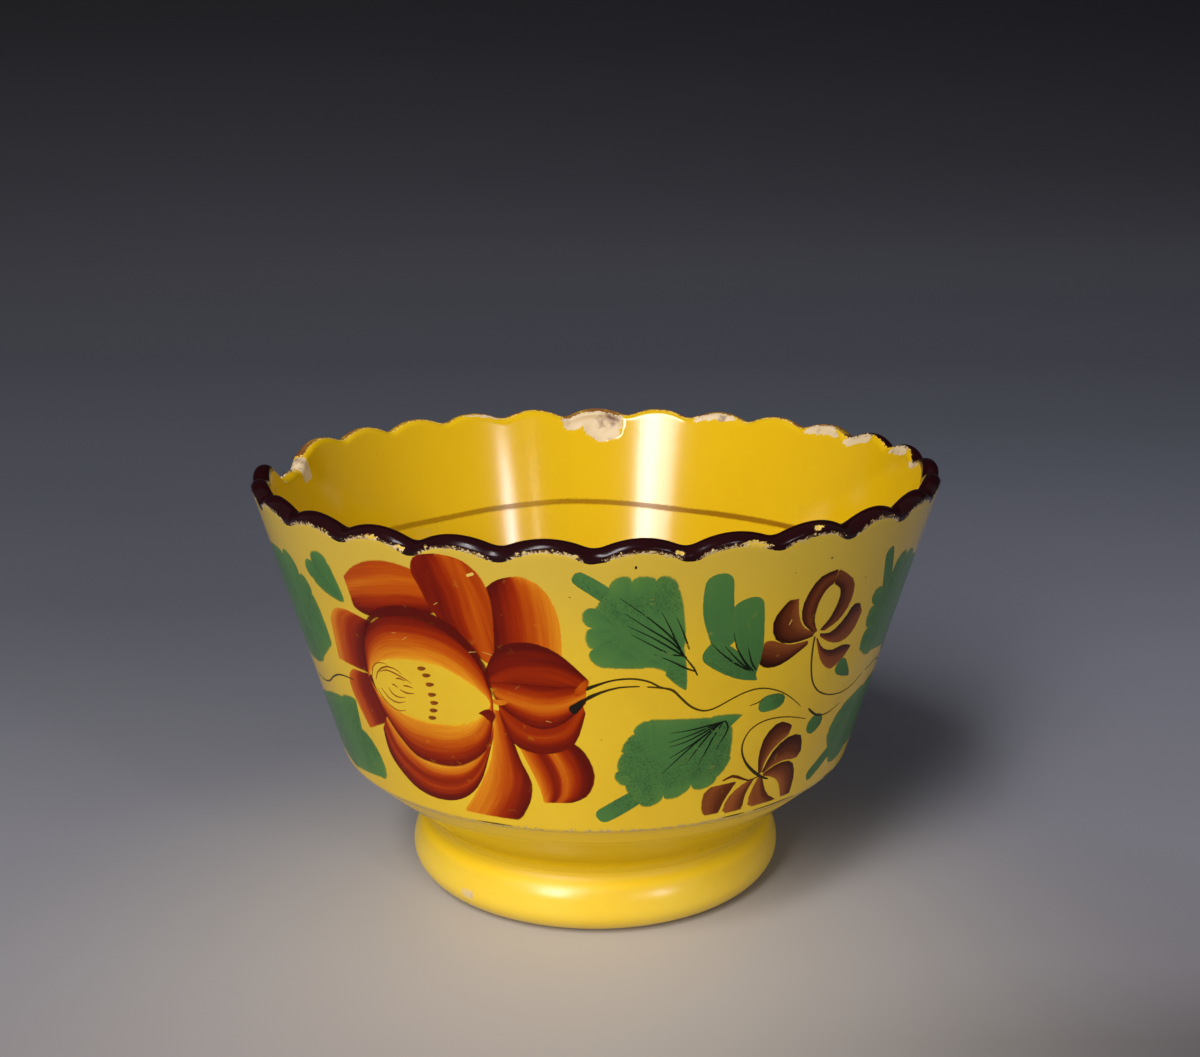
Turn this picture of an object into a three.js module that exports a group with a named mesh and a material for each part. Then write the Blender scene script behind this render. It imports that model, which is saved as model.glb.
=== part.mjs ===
// A handleless pottery cup, in millimetres: +Z is up, the cup stands on z = 0 and is centred on the Z axis.
// The front faces -Y. Every piece is turned round the Z axis from a half section of radius and height.
import * as THREE from "three";

// Rim
const RIM_RADIUS = 50; // outside of the lip where it is widest
const CUP_HEIGHT = 63.1; // top of the enamel at a scallop's crest
const LIP_THICKNESS = 2.4;
const LIP_STEPS = 4;

// Scallops cut into the lip
const SCALLOP_COUNT = 27;
const SCALLOP_DEPTH = 1.2; // from a crest down to the cusp between two lobes
const SCALLOP_FADE = 4.2; // the cut's effect dies out this far below the lip's bead
const STEPS_PER_SCALLOP = 4;

// Enamel on the lip
const ENAMEL_THICKNESS = 0.2;
const ENAMEL_START = THREE.MathUtils.degToRad(10); // above level, on the outside of the lip's bead
const ENAMEL_INNER_DEPTH = 0.4; // down the inside of the wall, from where the bead meets it

// Wall, edge and underside of the bowl
const EDGE_RADIUS = 38.5;
const EDGE_HEIGHT = 21.1;
const WALL_BASE_THICKNESS = 3.6; // level thickness at the edge
const UNDERSIDE_THICKNESS = 3.2; // square to the sloping underside
const NECK_HEIGHT = 0.8; // from the foot ring up to where the underside starts
const NECK_FILLET = 0.4; // length of each leg of the soft turn

// Inside of the bowl
const FLOOR_THICKNESS = 3.6;
const FLOOR_FILLET = 6.5; // length of each leg of the soft turn
const INNER_WALL_FILLET = 4; // length of each leg of the soft turn
const FILLET_STEPS = 4;

// Painted line round the inside
const LINE_HEIGHT = 46.3;
const LINE_WIDTH = 1.1;
const LINE_THICKNESS = 0.12;

// Foot ring
const FOOT_HEIGHT = 9.0;
const FOOT_RADIUS = 28.35; // outside of the bead
const BEAD_HEIGHT = 3.7; // level at which the bead is widest
const BEAD_UPPER_INSET = 4.5; // the bead's upper half would reach this far inside its widest part
const BEAD_LOWER_INSET = 4.4; // the bead's foot falls this far inside its widest part
const BEAD_STEPS = 6;
const GROOVE_DEPTH = 2.65; // from the bead's widest part in to the neck
const STAND_WIDTH = 1.35; // of the flat ring that the cup stands on
const FOOT_TOP_WIDTH = 3.7; // of the ring that carries the bowl
const FOOT_TURN_STEPS = 72;

const TURN_STEPS = SCALLOP_COUNT * STEPS_PER_SCALLOP;
const neckRadius = FOOT_RADIUS - GROOVE_DEPTH;

// The lip is a round bead on top of the wall, and both faces of the wall run into it without a kink.
const lipRadius = LIP_THICKNESS / 2;
const lipCentre = new THREE.Vector2(
  RIM_RADIUS - lipRadius,
  CUP_HEIGHT - ENAMEL_THICKNESS - lipRadius,
);
const outerEdge = new THREE.Vector2(EDGE_RADIUS, EDGE_HEIGHT);
const innerEdge = new THREE.Vector2(EDGE_RADIUS - WALL_BASE_THICKNESS, EDGE_HEIGHT);
const outerLean = tangentLean(outerEdge, 1);
const innerLean = tangentLean(innerEdge, -1);
const beadFoot = onLipBead(-outerLean, 0); // where the outside of the wall runs into the bead

// The lean from upright of the line from a point to the outer (1) or inner (-1) side of the lip's bead.
function tangentLean(from, side) {
  const run = lipCentre.clone().sub(from);
  return Math.atan2(run.x, run.y) + side * Math.asin(lipRadius / run.length());
}

// The unit vector that climbs a wall of the given lean.
function upWall(lean) {
  return new THREE.Vector2(Math.sin(lean), Math.cos(lean));
}

// The crossing of two lines, each given by a point and a direction.
function crossing(a, alongA, b, alongB) {
  const gap = b.clone().sub(a);
  const reach = gap.cross(alongB) / alongA.cross(alongB);
  return a.clone().addScaledVector(alongA, reach);
}

// A soft turn in place of a corner. Its legs stay shorter than half of the lines that they shorten.
function softTurn(before, corner, after, leg) {
  const fitLeg = Math.min(leg, corner.distanceTo(before) / 2, corner.distanceTo(after) / 2);
  const start = corner.clone().lerp(before, fitLeg / corner.distanceTo(before));
  const end = corner.clone().lerp(after, fitLeg / corner.distanceTo(after));
  return new THREE.QuadraticBezierCurve(start, corner, end).getPoints(FILLET_STEPS);
}

// A point on the lip's bead, at an angle up from the outside, raised by a film of the given thickness.
function onLipBead(angle, film) {
  const reach = lipRadius + film;
  return new THREE.Vector2(Math.cos(angle), Math.sin(angle)).multiplyScalar(reach).add(lipCentre);
}

// The enamelled arc of the lip from outside to inside, raised by a film of the given thickness.
function lipArc(film) {
  const end = Math.PI - innerLean;
  return Array.from({ length: LIP_STEPS + 1 }, (_, i) => {
    const angle = ENAMEL_START + ((end - ENAMEL_START) * i) / LIP_STEPS;
    return onLipBead(angle, film);
  });
}

// The clay surface that the enamel covers, from its outer end over the lip to its inner end.
function enamelSeat() {
  const arc = lipArc(0);
  const innerEnd = arc.at(-1).clone().addScaledVector(upWall(innerLean), -ENAMEL_INNER_DEPTH);
  return [...arc, innerEnd];
}

// The inner wall's point at a given height.
function onInnerWall(height) {
  const climb = (height - innerEdge.y) / Math.cos(innerLean);
  return innerEdge.clone().addScaledVector(upWall(innerLean), climb);
}

// The painted line's seat on the inner wall, upper end first.
function lineSeat() {
  return [onInnerWall(LINE_HEIGHT + LINE_WIDTH / 2), onInnerWall(LINE_HEIGHT - LINE_WIDTH / 2)];
}

// How far a point of the lip sinks below the crest, by its share of the way round: each lobe is an arch.
function scallopDrop(turnShare) {
  const lobe = turnShare * SCALLOP_COUNT;
  const fromCrest = 2 * (lobe - Math.floor(lobe)) - 1;
  return SCALLOP_DEPTH * fromCrest * fromCrest;
}

// Slides the lip down its own wall by the scallops' depth, fading to nothing lower down.
function cutScallops(geometry) {
  const place = geometry.getAttribute("position");
  const turnShare = geometry.getAttribute("uv");
  const fadeFrom = beadFoot.y - SCALLOP_FADE;
  const slide = Math.tan((outerLean + innerLean) / 2);
  for (let i = 0; i < place.count; i += 1) {
    const share = THREE.MathUtils.clamp((place.getZ(i) - fadeFrom) / SCALLOP_FADE, 0, 1);
    const drop = share * scallopDrop(turnShare.getX(i));
    const radius = Math.hypot(place.getX(i), place.getY(i));
    const shrink = radius > 0 ? 1 - (drop * slide) / radius : 1;
    place.setXYZ(i, place.getX(i) * shrink, place.getY(i) * shrink, place.getZ(i) - drop);
  }
  geometry.computeVertexNormals();
  return geometry;
}

// Turns a half section round the Z axis, starting at the front.
function turned(section, steps) {
  return new THREE.LatheGeometry(section, steps).rotateX(Math.PI / 2);
}

// Turns the faces round, for a section that runs the same way as the surface that it sits on. Its triangles
// then meet those of that surface edge for edge.
function facedOut(geometry) {
  geometry.index.array.reverse();
  return geometry;
}

// The bowl, from the middle of its base up the outside, over the lip and down to the middle of the floor.
function bowlSection() {
  const baseCentre = new THREE.Vector2(0, FOOT_HEIGHT);
  const baseRim = new THREE.Vector2(neckRadius, FOOT_HEIGHT);
  const neckTop = new THREE.Vector2(neckRadius, FOOT_HEIGHT + NECK_HEIGHT);
  const outerFadeEnd = crossing(
    outerEdge,
    upWall(outerLean),
    new THREE.Vector2(0, beadFoot.y - SCALLOP_FADE),
    new THREE.Vector2(1, 0),
  );
  const alongUnderside = outerEdge.clone().sub(neckTop).normalize();
  const inward = new THREE.Vector2(-alongUnderside.y, alongUnderside.x);
  const onInnerSlope = outerEdge.clone().addScaledVector(inward, UNDERSIDE_THICKNESS);
  const slopeTop = crossing(innerEdge, upWall(innerLean), onInnerSlope, alongUnderside);
  const floorCentre = new THREE.Vector2(0, FOOT_HEIGHT + FLOOR_THICKNESS);
  const floorRim = crossing(onInnerSlope, alongUnderside, floorCentre, new THREE.Vector2(1, 0));
  const [lineTop, lineBottom] = lineSeat();
  return [
    baseCentre,
    baseRim,
    ...softTurn(baseRim, neckTop, outerEdge, NECK_FILLET),
    outerEdge,
    outerFadeEnd,
    beadFoot,
    ...enamelSeat(),
    onInnerWall(outerFadeEnd.y),
    lineTop,
    lineBottom,
    ...softTurn(lineBottom, slopeTop, floorRim, INNER_WALL_FILLET),
    ...softTurn(slopeTop, floorRim, floorCentre, FLOOR_FILLET),
    floorCentre,
  ];
}

// The enamel film: its seat on the clay, then its glossy skin back to the start. Both ends thin out to an edge.
function enamelSection() {
  const seat = enamelSeat();
  const skin = lipArc(ENAMEL_THICKNESS).slice(1).reverse();
  return [...seat, ...skin, seat[0].clone()];
}

// The painted line, a low ridge on the inner wall.
function lineSection() {
  const [top, bottom] = lineSeat();
  const crown = onInnerWall(LINE_HEIGHT);
  crown.add(upWall(innerLean + Math.PI / 2).multiplyScalar(-LINE_THICKNESS));
  return [top, crown, bottom, top.clone()];
}

// The bead's outline from its widest point towards a level above or below it, as far in as the given radius.
function beadHalf(inset, level, endRadius) {
  const centre = new THREE.Vector2(FOOT_RADIUS - inset, BEAD_HEIGHT);
  const end = Math.acos((endRadius - centre.x) / inset);
  return Array.from({ length: BEAD_STEPS + 1 }, (_, i) => {
    const angle = (end * i) / BEAD_STEPS;
    const rise = (level - BEAD_HEIGHT) * Math.sin(angle);
    return new THREE.Vector2(centre.x + inset * Math.cos(angle), centre.y + rise);
  });
}

// The foot ring, from the inside of the ring that it stands on, up the bead to the groove and back down inside.
function footSection() {
  const standRadius = FOOT_RADIUS - BEAD_LOWER_INSET;
  const innerTop = new THREE.Vector2(neckRadius - FOOT_TOP_WIDTH, FOOT_HEIGHT);
  const outerTop = new THREE.Vector2(neckRadius, FOOT_HEIGHT);
  const innerFoot = new THREE.Vector2(standRadius - STAND_WIDTH, 0);
  const lower = beadHalf(BEAD_LOWER_INSET, 0, standRadius).reverse();
  const upper = beadHalf(BEAD_UPPER_INSET, FOOT_HEIGHT, neckRadius).slice(1);
  return [innerFoot, ...lower, ...upper, outerTop, innerTop, innerFoot.clone()];
}

// A named piece in a glossy glaze or enamel of one colour.
function piece(name, geometry, color, roughness) {
  const material = new THREE.MeshStandardMaterial({ color, roughness, metalness: 0 });
  const mesh = new THREE.Mesh(geometry, material);
  mesh.name = name;
  return mesh;
}

const cup = new THREE.Group();
cup.name = "pottery_cup";
cup.add(piece("cup_bowl", cutScallops(turned(bowlSection(), TURN_STEPS)), 0xe1b832, 0.15));
cup.add(piece("foot_ring", turned(footSection(), FOOT_TURN_STEPS), 0xe6be3a, 0.15));
cup.add(piece("rim_enamel", cutScallops(facedOut(turned(enamelSection(), TURN_STEPS))), 0x32140f, 0.12));
cup.add(piece("inner_line", turned(lineSection(), TURN_STEPS), 0x8a5a12, 0.2));

export default cup;
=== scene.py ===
"""Looks for the pottery cup: canary-yellow glaze, a cut and enamelled lip, and free-hand flowers.

Sizes are in millimetres. A spot on the wall is (turn, height): the turn in degrees, 0 at the front and
growing to the right, and the height in millimetres. Meshes are made in metres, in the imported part's frame.
"""

import logging
import math
from collections.abc import Callable, Sequence
from dataclasses import dataclass, field
from enum import Enum

import bmesh
import bpy
from bmesh.types import BMEdge, BMesh, BMVert
from bpy.types import Material, Node, NodeSocket, NodeTree, Object
from mathutils import Matrix, Vector, noise


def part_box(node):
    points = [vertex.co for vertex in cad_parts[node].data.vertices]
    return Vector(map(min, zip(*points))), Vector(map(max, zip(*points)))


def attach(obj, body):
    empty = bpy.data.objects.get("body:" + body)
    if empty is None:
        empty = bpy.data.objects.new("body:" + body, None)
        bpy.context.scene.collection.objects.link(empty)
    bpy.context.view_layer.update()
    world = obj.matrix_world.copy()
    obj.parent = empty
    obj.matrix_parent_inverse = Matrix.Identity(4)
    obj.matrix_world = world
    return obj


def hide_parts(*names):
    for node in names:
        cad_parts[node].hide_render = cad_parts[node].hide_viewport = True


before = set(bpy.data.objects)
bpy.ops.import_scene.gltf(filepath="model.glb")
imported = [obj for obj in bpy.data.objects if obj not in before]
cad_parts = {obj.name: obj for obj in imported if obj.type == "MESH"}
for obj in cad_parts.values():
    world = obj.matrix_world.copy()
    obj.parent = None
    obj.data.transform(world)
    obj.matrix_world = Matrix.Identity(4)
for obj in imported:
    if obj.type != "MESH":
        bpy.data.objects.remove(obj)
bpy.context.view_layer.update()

LOG = logging.getLogger("pottery_cup")
MM = 0.001
SHARP = math.radians(50)
STEPS_PER_LOBE = 22
SAME_SPOT = 0.0005 * MM
SAME_PAINT = 0.0002 * MM

Spot = tuple[float, float]
Band = tuple[float, float]
Tint = tuple[float, float, float, float]
Stops = tuple[tuple[float, Tint], ...]
Marks = dict[str, float]


def linear(red: int, green: int, blue: int) -> Tint:
    """Turns a colour as it is seen on a screen into a shader's linear colour.

    Args:
        red: Red, from 0 to 255.
        green: Green, from 0 to 255.
        blue: Blue, from 0 to 255.

    Returns:
        The linear colour with an alpha of 1.
    """

    def channel(value: int) -> float:
        """Undoes the screen's curve for one channel."""
        share = value / 255
        return share / 12.92 if share <= 0.04045 else ((share + 0.055) / 1.055) ** 2.4

    return channel(red), channel(green), channel(blue), 1.0


def ramp_of(*rows: tuple[float, int, int, int]) -> Stops:
    """Makes the stops of a ramp from rows of a place and a colour as it is seen on a screen."""
    return tuple((place, linear(red, green, blue)) for place, red, green, blue in rows)


def waver(x: float, y: float, z: float) -> float:
    """Smooth unevenness, from about -1 to 1, at a place in a pattern that is always the same."""
    return noise.noise(Vector((x, y, z)))


def ease(value: float, low: float, high: float) -> float:
    """Climbs smoothly from 0 at low to 1 at high; low may be the greater of the two."""
    share = min(1.0, max(0.0, (value - low) / (high - low)))
    return share * share * (3 - 2 * share)


def turn_gap(turn: float, other: float) -> float:
    """The signed turn from other to turn, in degrees, between -180 and 180."""
    return (turn - other + 180) % 360 - 180


def turn_of(point: Vector) -> float:
    """The turn of a point round the cup's axis, in degrees from 0 to 360."""
    return math.degrees(math.atan2(point.x, -point.y)) % 360


def crossing(a: Vector, along_a: Vector, b: Vector, along_b: Vector) -> Vector:
    """Where two lines cross, each given by a point and a direction."""
    return a + along_a * ((b - a).cross(along_b) / along_a.cross(along_b))


def blend(points: Sequence[Sequence[float]], share: float) -> list[float]:
    """Follows a smooth curve through points.

    Args:
        points: What the curve passes through, two points at least.
        share: How far along the curve, from 0 to 1.

    Returns:
        The point on the curve, with as many numbers as each given point.
    """
    last = len(points) - 1
    place = min(max(share, 0.0), 1.0) * last
    index = min(int(place), last - 1)
    t = place - index
    before = points[max(index - 1, 0)]
    after = points[min(index + 2, last)]
    made = []
    for p0, p1, p2, p3 in zip(before, points[index], points[index + 1], after):
        bend = 2 * p0 - 5 * p1 + 4 * p2 - p3
        twist = 3 * (p1 - p2) + p3 - p0
        made.append(p1 + 0.5 * t * (p2 - p0 + t * (bend + t * twist)))
    return made


@dataclass(frozen=True)
class Chip:
    """A place where a flake of the lip has come away from the inside of the wall.

    Attributes:
        turn: Middle of the flake, in degrees.
        height: Middle of the flake.
        half_turn: Half of its width, in degrees.
        half_height: Half of its height.
        depth: How deep it bites into the wall.
        ragged: How much its edge strays, as a share of its half width.
        edge: Shares of the half width at which it starts and is fully deep.
    """

    turn: float
    height: float
    half_turn: float
    half_height: float
    depth: float
    ragged: float = 0.14
    edge: Band = (1.0, 0.78)

    def bite(self, turn: float, height: float) -> float:
        """The share of the full depth that is gone at a place.

        Args:
            turn: Turn of the place in degrees.
            height: Height of the place.

        Returns:
            The share, from 0 outside the flake to 1 in its middle.
        """
        across, up = turn_gap(turn, self.turn) / self.half_turn, (height - self.height) / self.half_height
        stray = self.ragged * waver(turn * 0.55, height * 0.9, self.turn)
        return ease(math.hypot(across, up) + stray, *self.edge)


LIP_CHIPS = (
    Chip(178.6, 61.8, 4.6, 4.6, 0.6),
    Chip(184.0, 62.3, 3.4, 2.4, 0.4),
    Chip(154.0, 62.5, 4.8, 0.85, 0.2),
    Chip(127.5, 62.2, 4.6, 0.85, 0.22),
    Chip(116.5, 62.3, 4.2, 0.8, 0.2),
    Chip(101.5, 62.3, 3.6, 0.65, 0.16),
    Chip(92.0, 62.3, 2.7, 0.55, 0.14),
    Chip(205.0, 62.9, 4.0, 0.45, 0.08),
)


@dataclass(frozen=True)
class CupForm:
    """The turned form that every piece of the cup is fitted to, in millimetres and degrees.

    Attributes:
        rim_radius: Outside of the lip.
        lip_radius: Radius of the bead that the lip ends in.
        lip_top: Top of the clay at a crest.
        edge_radius: Radius of the sharp turned edge.
        edge_height: Height of the turned edge.
        wall_base: Level thickness of the wall at the edge.
        foot_height: Height of the foot ring.
        neck_radius: Radius of the neck between the foot ring and the bowl.
        lobes: Number of lobes cut into the lip.
        lobe_depth: Depth of the cut between two lobes.
        lobe_fade: How far below the bead the cut's effect dies out.
        cut_round: Share of a lobe's half over which the cut is rounded out.
        lobe_vary: Share by which the depth of the cuts varies round the lip.
        lobe_waves: How often it does so in a full turn.
        lost_depth: How far the lip is broken down where a lobe is lost on the left.
        lost_start: Turn where the slope of the lost lobe starts.
        lost_slope: How far the slope reaches, in degrees.
        lost_turn: Turn of the pale broken face at the end of the lost lobe.
        lost_cliff: Where the broken face starts and ends, in degrees from its turn.
        high_turn: Turn at which the fired rim stands highest.
        high_lift: How far it stands out of true there.
        twice_lift: How far it warps twice in a full turn.
        groove_centre: Middle of the round of glaze in the groove over the foot ring.
        groove_round: Radius of that round.
        groove_span: Heights at which the round runs into the foot ring and into the bowl.
    """

    rim_radius: float = 50.0
    lip_radius: float = 1.2
    lip_top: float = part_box("cup_bowl")[1].z / MM
    edge_radius: float = 38.5
    edge_height: float = 21.1
    wall_base: float = 3.6
    foot_height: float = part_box("foot_ring")[1].z / MM
    neck_radius: float = 25.7
    lobes: int = 27
    lobe_depth: float = 1.2
    lobe_fade: float = 4.2
    cut_round: float = 0.24
    lobe_vary: float = 0.1
    lobe_waves: int = 10
    lost_depth: float = 3.2
    lost_start: float = 274.0
    lost_slope: float = 12.5
    lost_turn: float = 256.0
    lost_cliff: Band = (-3.2, 2.6)
    high_turn: float = 75.0
    high_lift: float = 0.4
    twice_lift: float = 0.12
    groove_centre: Spot = (28.09, 9.24)
    groove_round: float = 2.0
    groove_span: Spot = (7.8, 10.74)

    @property
    def lip_centre(self) -> Vector:
        """Middle of the lip's bead, as radius and height."""
        return Vector((self.rim_radius - self.lip_radius, self.lip_top - self.lip_radius))

    def lean(self, foot_radius: float, side: int) -> float:
        """Lean of the outer (1) or inner (-1) face, in radians, where it runs into the lip's bead."""
        run = self.lip_centre - Vector((foot_radius, self.edge_height))
        return math.atan2(run.x, run.y) + side * math.asin(self.lip_radius / run.length)

    @property
    def outer_lean(self) -> float:
        """Lean of the outer face, in radians."""
        return self.lean(self.edge_radius, 1)

    @property
    def inner_lean(self) -> float:
        """Lean of the inner face, in radians."""
        return self.lean(self.edge_radius - self.wall_base, -1)

    def outer_radius(self, height: float) -> float:
        """Radius of the outer face at a height."""
        return self.edge_radius + (height - self.edge_height) * math.tan(self.outer_lean)

    def inner_radius(self, height: float) -> float:
        """Radius of the inner face at a height."""
        foot = self.edge_radius - self.wall_base
        return foot + (height - self.edge_height) * math.tan(self.inner_lean)

    def from_crest(self, turn: float) -> float:
        """How far a turn lies from the crest of its lobe: 0 at the crest and 1 at the cut."""
        return abs(2 * ((turn / 360 * self.lobes) % 1) - 1)

    def lobe_drop(self, turn: float) -> float:
        """How far the cut lip lies under a crest.

        Args:
            turn: Turn in degrees.

        Returns:
            The drop: each lobe is an arch, and no two are quite alike.
        """
        away = self.from_crest(turn)
        flat = max(0.0, away - 1 + self.cut_round)
        away = (away - flat * flat / (2 * self.cut_round)) / (1 - self.cut_round / 2)
        vary = self.lobe_vary * math.sin(math.radians(self.lobe_waves * turn))
        return self.lobe_depth * (1 + vary) * away**2

    def notch_drop(self, turn: float) -> float:
        """How far the lip is broken down at the lost lobe on the left: a slope, then a cliff."""
        slope = ease(turn_gap(turn, self.lost_start), 0.0, -self.lost_slope)
        return self.lost_depth * slope * ease(turn_gap(turn, self.lost_turn), *self.lost_cliff)

    def rim_lift(self, turn: float) -> float:
        """How far the fired rim stands out of true."""
        away = math.radians(turn - self.high_turn)
        return self.high_lift * math.cos(away) + self.twice_lift * math.cos(2 * away)

    def settle(self, radius: float, height: float, turn: float) -> Spot:
        """Where a point of the even form comes to lie on the cut, broken and slightly warped cup.

        Args:
            radius: Radius of the point on the even form.
            height: Height of the point on the even form.
            turn: Turn of the point in degrees.

        Returns:
            The radius and height of the point on the real cup.
        """
        if height <= self.edge_height:
            return radius, height
        fade_from = self.lip_centre.y - self.lip_radius * math.sin(self.outer_lean) - self.lobe_fade
        cut = min(1.0, max(0.0, (height - fade_from) / self.lobe_fade))
        up = (height - self.edge_height) / (self.lip_top - self.edge_height)
        sink = cut * (self.lobe_drop(turn) + self.notch_drop(turn)) - up * up * self.rim_lift(turn)
        outer, inner = self.outer_radius(height), self.inner_radius(height)
        across = min(1.0, max(0.0, (radius - inner) / (outer - inner)))
        low, high = math.tan(self.inner_lean), math.tan(self.outer_lean)
        return radius - sink * (low + (high - low) * across), height - sink

    def broken_face(self, turn: float, height: float, start: float) -> float:
        """How bare the clay is at the lost lobe's broken face, which begins at a height."""
        return ease(abs(turn_gap(turn, self.lost_turn)), 2.4, 1.0) * ease(height, start, start + 1.5)

    def chipped(self, radius: float, height: float, turn: float) -> Spot:
        """Where a point on the inside of the even lip comes to lie under the flakes that are lost.

        Args:
            radius: Radius of the point on the even lip.
            height: Height of the point on the even lip.
            turn: Turn of the point in degrees.

        Returns:
            The radius and height of the point on the chipped lip.
        """
        bite = max(chip.bite(turn, height) * chip.depth for chip in LIP_CHIPS)
        bite *= 1 + 0.35 * waver(turn * 0.9, height * 1.3, 7.0)
        top = ease(height, self.lip_centre.y - 0.5, self.lip_top)
        return radius + bite * (1 - top), height - 0.7 * bite * top

    def filled(self, radius: float, height: float) -> float:
        """Fills the groove over the foot with glaze.

        Args:
            radius: Radius of the bare outside.
            height: Height of the place.

        Returns:
            The radius of the glazed outside.
        """
        if not self.groove_span[0] < height < self.groove_span[1]:
            return radius
        away = height - self.groove_centre[1]
        return max(radius, self.groove_centre[0] - math.sqrt(self.groove_round**2 - away * away))

    def on_wall(self, spot: Spot, proud: float) -> Vector:
        """The point, in metres, that stands a little proud of the outer face of the wall at a spot."""
        radius = self.outer_radius(spot[1]) + proud * math.cos(self.outer_lean)
        return self.at(radius, spot[1] - proud * math.sin(self.outer_lean), spot[0])

    def gap(self, a: Spot, b: Spot) -> float:
        """The way over the wall between two spots."""
        around = math.radians(a[0] - b[0]) * self.outer_radius((a[1] + b[1]) / 2)
        return math.hypot(around, (a[1] - b[1]) / math.cos(self.outer_lean))

    @staticmethod
    def at(radius: float, height: float, turn: float) -> Vector:
        """The point, in metres, at a radius, a height and a turn."""
        angle = math.radians(turn)
        return Vector((radius * math.sin(angle), -radius * math.cos(angle), height)) * MM


@dataclass
class Section:
    """A half section drawn in a bmesh, in the plane through the axis and the front of the cup.

    Attributes:
        mesh: The mesh that holds the line.
        ends: The line's vertices, in order, as they are drawn.
    """

    mesh: BMesh = field(default_factory=bmesh.new)
    ends: list[BMVert] = field(default_factory=list)

    def to(self, radius: float, height: float) -> BMVert:
        """Draws the line on to a point.

        Args:
            radius: Radius of the point.
            height: Height of the point.

        Returns:
            The new vertex.
        """
        vert = self.mesh.verts.new((0, -radius * MM, height * MM))
        if self.ends:
            self.mesh.edges.new((self.ends[-1], vert))
        self.ends.append(vert)
        return vert

    def close(self) -> None:
        """Draws the line back to its first point."""
        self.mesh.edges.new((self.ends[-1], self.ends[0]))

    def swing(self, centre: Spot, angle: float, steps: int) -> None:
        """Draws the line on along an arc.

        Args:
            centre: Radius and height of the arc's middle.
            angle: Turn of the arc in radians, towards the axis over the top when it is positive.
            steps: Number of edges in the arc.
        """
        middle = (0, -centre[0] * MM, centre[1] * MM)
        turned = bmesh.ops.spin(
            self.mesh, geom=[self.ends[-1]], cent=middle, axis=(-1, 0, 0), angle=angle, steps=steps
        )
        self.ends.append(next(e for e in turned["geom_last"] if isinstance(e, BMVert)))

    def soften(self, vert: BMVert, leg: float, segments: int) -> None:
        """Rounds a corner of the line.

        Args:
            vert: The corner.
            leg: How far from the corner the round starts.
            segments: Number of edges in the round.
        """
        self.ends.remove(vert)
        rounding = {"offset": leg * MM, "offset_type": "OFFSET", "segments": segments, "profile": 0.5}
        bmesh.ops.bevel(self.mesh, geom=[vert], affect="VERTICES", material=-1, **rounding)

    def split(self, pitch: Callable[[Vector], float]) -> None:
        """Cuts every edge that is longer than the pitch wanted at its middle.

        Args:
            pitch: Gives the longest edge allowed round a point in metres.
        """
        wanted: dict[int, list[BMEdge]] = {}
        for edge in self.mesh.edges:
            middle = (edge.verts[0].co + edge.verts[1].co) / 2
            cuts = math.ceil(edge.calc_length() / MM / pitch(middle)) - 1
            if cuts > 0:
                wanted.setdefault(cuts, []).append(edge)
        for cuts, edges in wanted.items():
            bmesh.ops.subdivide_edges(self.mesh, edges=edges, cuts=cuts)

    def turn(self, steps: int, marks: Sequence[str]) -> BMesh:
        """Spins the line a full turn into one closed skin.

        Args:
            steps: Number of steps in the turn.
            marks: Names of the numbers that each vertex carries for the materials.

        Returns:
            The mesh, with its poles closed and its faces outwards.
        """
        line = self.mesh.verts[:] + self.mesh.edges[:]
        full = {"cent": (0, 0, 0), "axis": (0, 0, 1), "angle": math.tau, "steps": steps}
        bmesh.ops.spin(self.mesh, geom=line, use_merge=True, **full)
        bmesh.ops.remove_doubles(self.mesh, verts=self.mesh.verts, dist=SAME_SPOT)
        bmesh.ops.recalc_face_normals(self.mesh, faces=self.mesh.faces)
        for mark in marks:
            self.mesh.verts.layers.float.new(mark)
        return self.mesh


def finish_piece(
    name: str, mesh: BMesh, material: Material, replaces: Sequence[str] = ()
) -> Object:
    """Makes an object of a mesh and hangs it on the cup.

    Args:
        name: Name of the piece.
        mesh: Its mesh, which is used up.
        material: Its material.
        replaces: The CAD nodes that the piece stands for.

    Returns:
        The new object.
    """
    for face in mesh.faces:
        face.smooth = True
    for edge in mesh.edges:
        edge.smooth = edge.calc_face_angle(0.0) < SHARP
    data = bpy.data.meshes.new(name)
    mesh.to_mesh(data)
    mesh.free()
    data.materials.append(material)
    piece = bpy.data.objects.new(name, data)
    bpy.context.scene.collection.objects.link(piece)
    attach(piece, "root")
    if replaces:
        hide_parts(*replaces)
    LOG.info("%s: %d faces", name, len(data.polygons))
    return piece


@dataclass(frozen=True)
class Blots:
    """A pattern of soft-edged blots, made of noise.

    Attributes:
        scale: Scale of the noise.
        detail: Detail of the noise.
        rough: Roughness of the noise.
        low: Level of the noise at which a blot begins.
        high: Level at which it shows in full.
    """

    scale: float
    detail: float
    rough: float
    low: float
    high: float


GLAZE_CLOUDS = Blots(62, 4, 0.6, 0.38, 0.66)
FINE_CLOUDS = Blots(520, 3, 0.65, 0.3, 0.75)
SPECK_PATCHES = Blots(90, 2, 0.5, 0.45, 0.62)
RUBBED_IN_DIRT = Blots(2600, 3, 0.7, 0.5, 0.7)
CLAY_STAINS = Blots(300, 5, 0.6, 0.52, 0.74)
PAINT_GRAINS = Blots(4600, 2, 0.6, 0.46, 0.66)
GRAIN_PATCHES = Blots(120, 2, 0.5, 0.46, 0.6)
THIN_ENAMEL = Blots(1300, 4, 0.7, 0.42, 0.62)
RUBBED_ENAMEL = Blots(340, 3, 0.6, 0.42, 0.8)
LIP_STAINS = Blots(520, 4, 0.7, 0.48, 0.7)
RUB_GRAIN = 1600.0
FLAKE_GRAIN = 520.0
LIP_GRAIN = 2400.0


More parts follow.
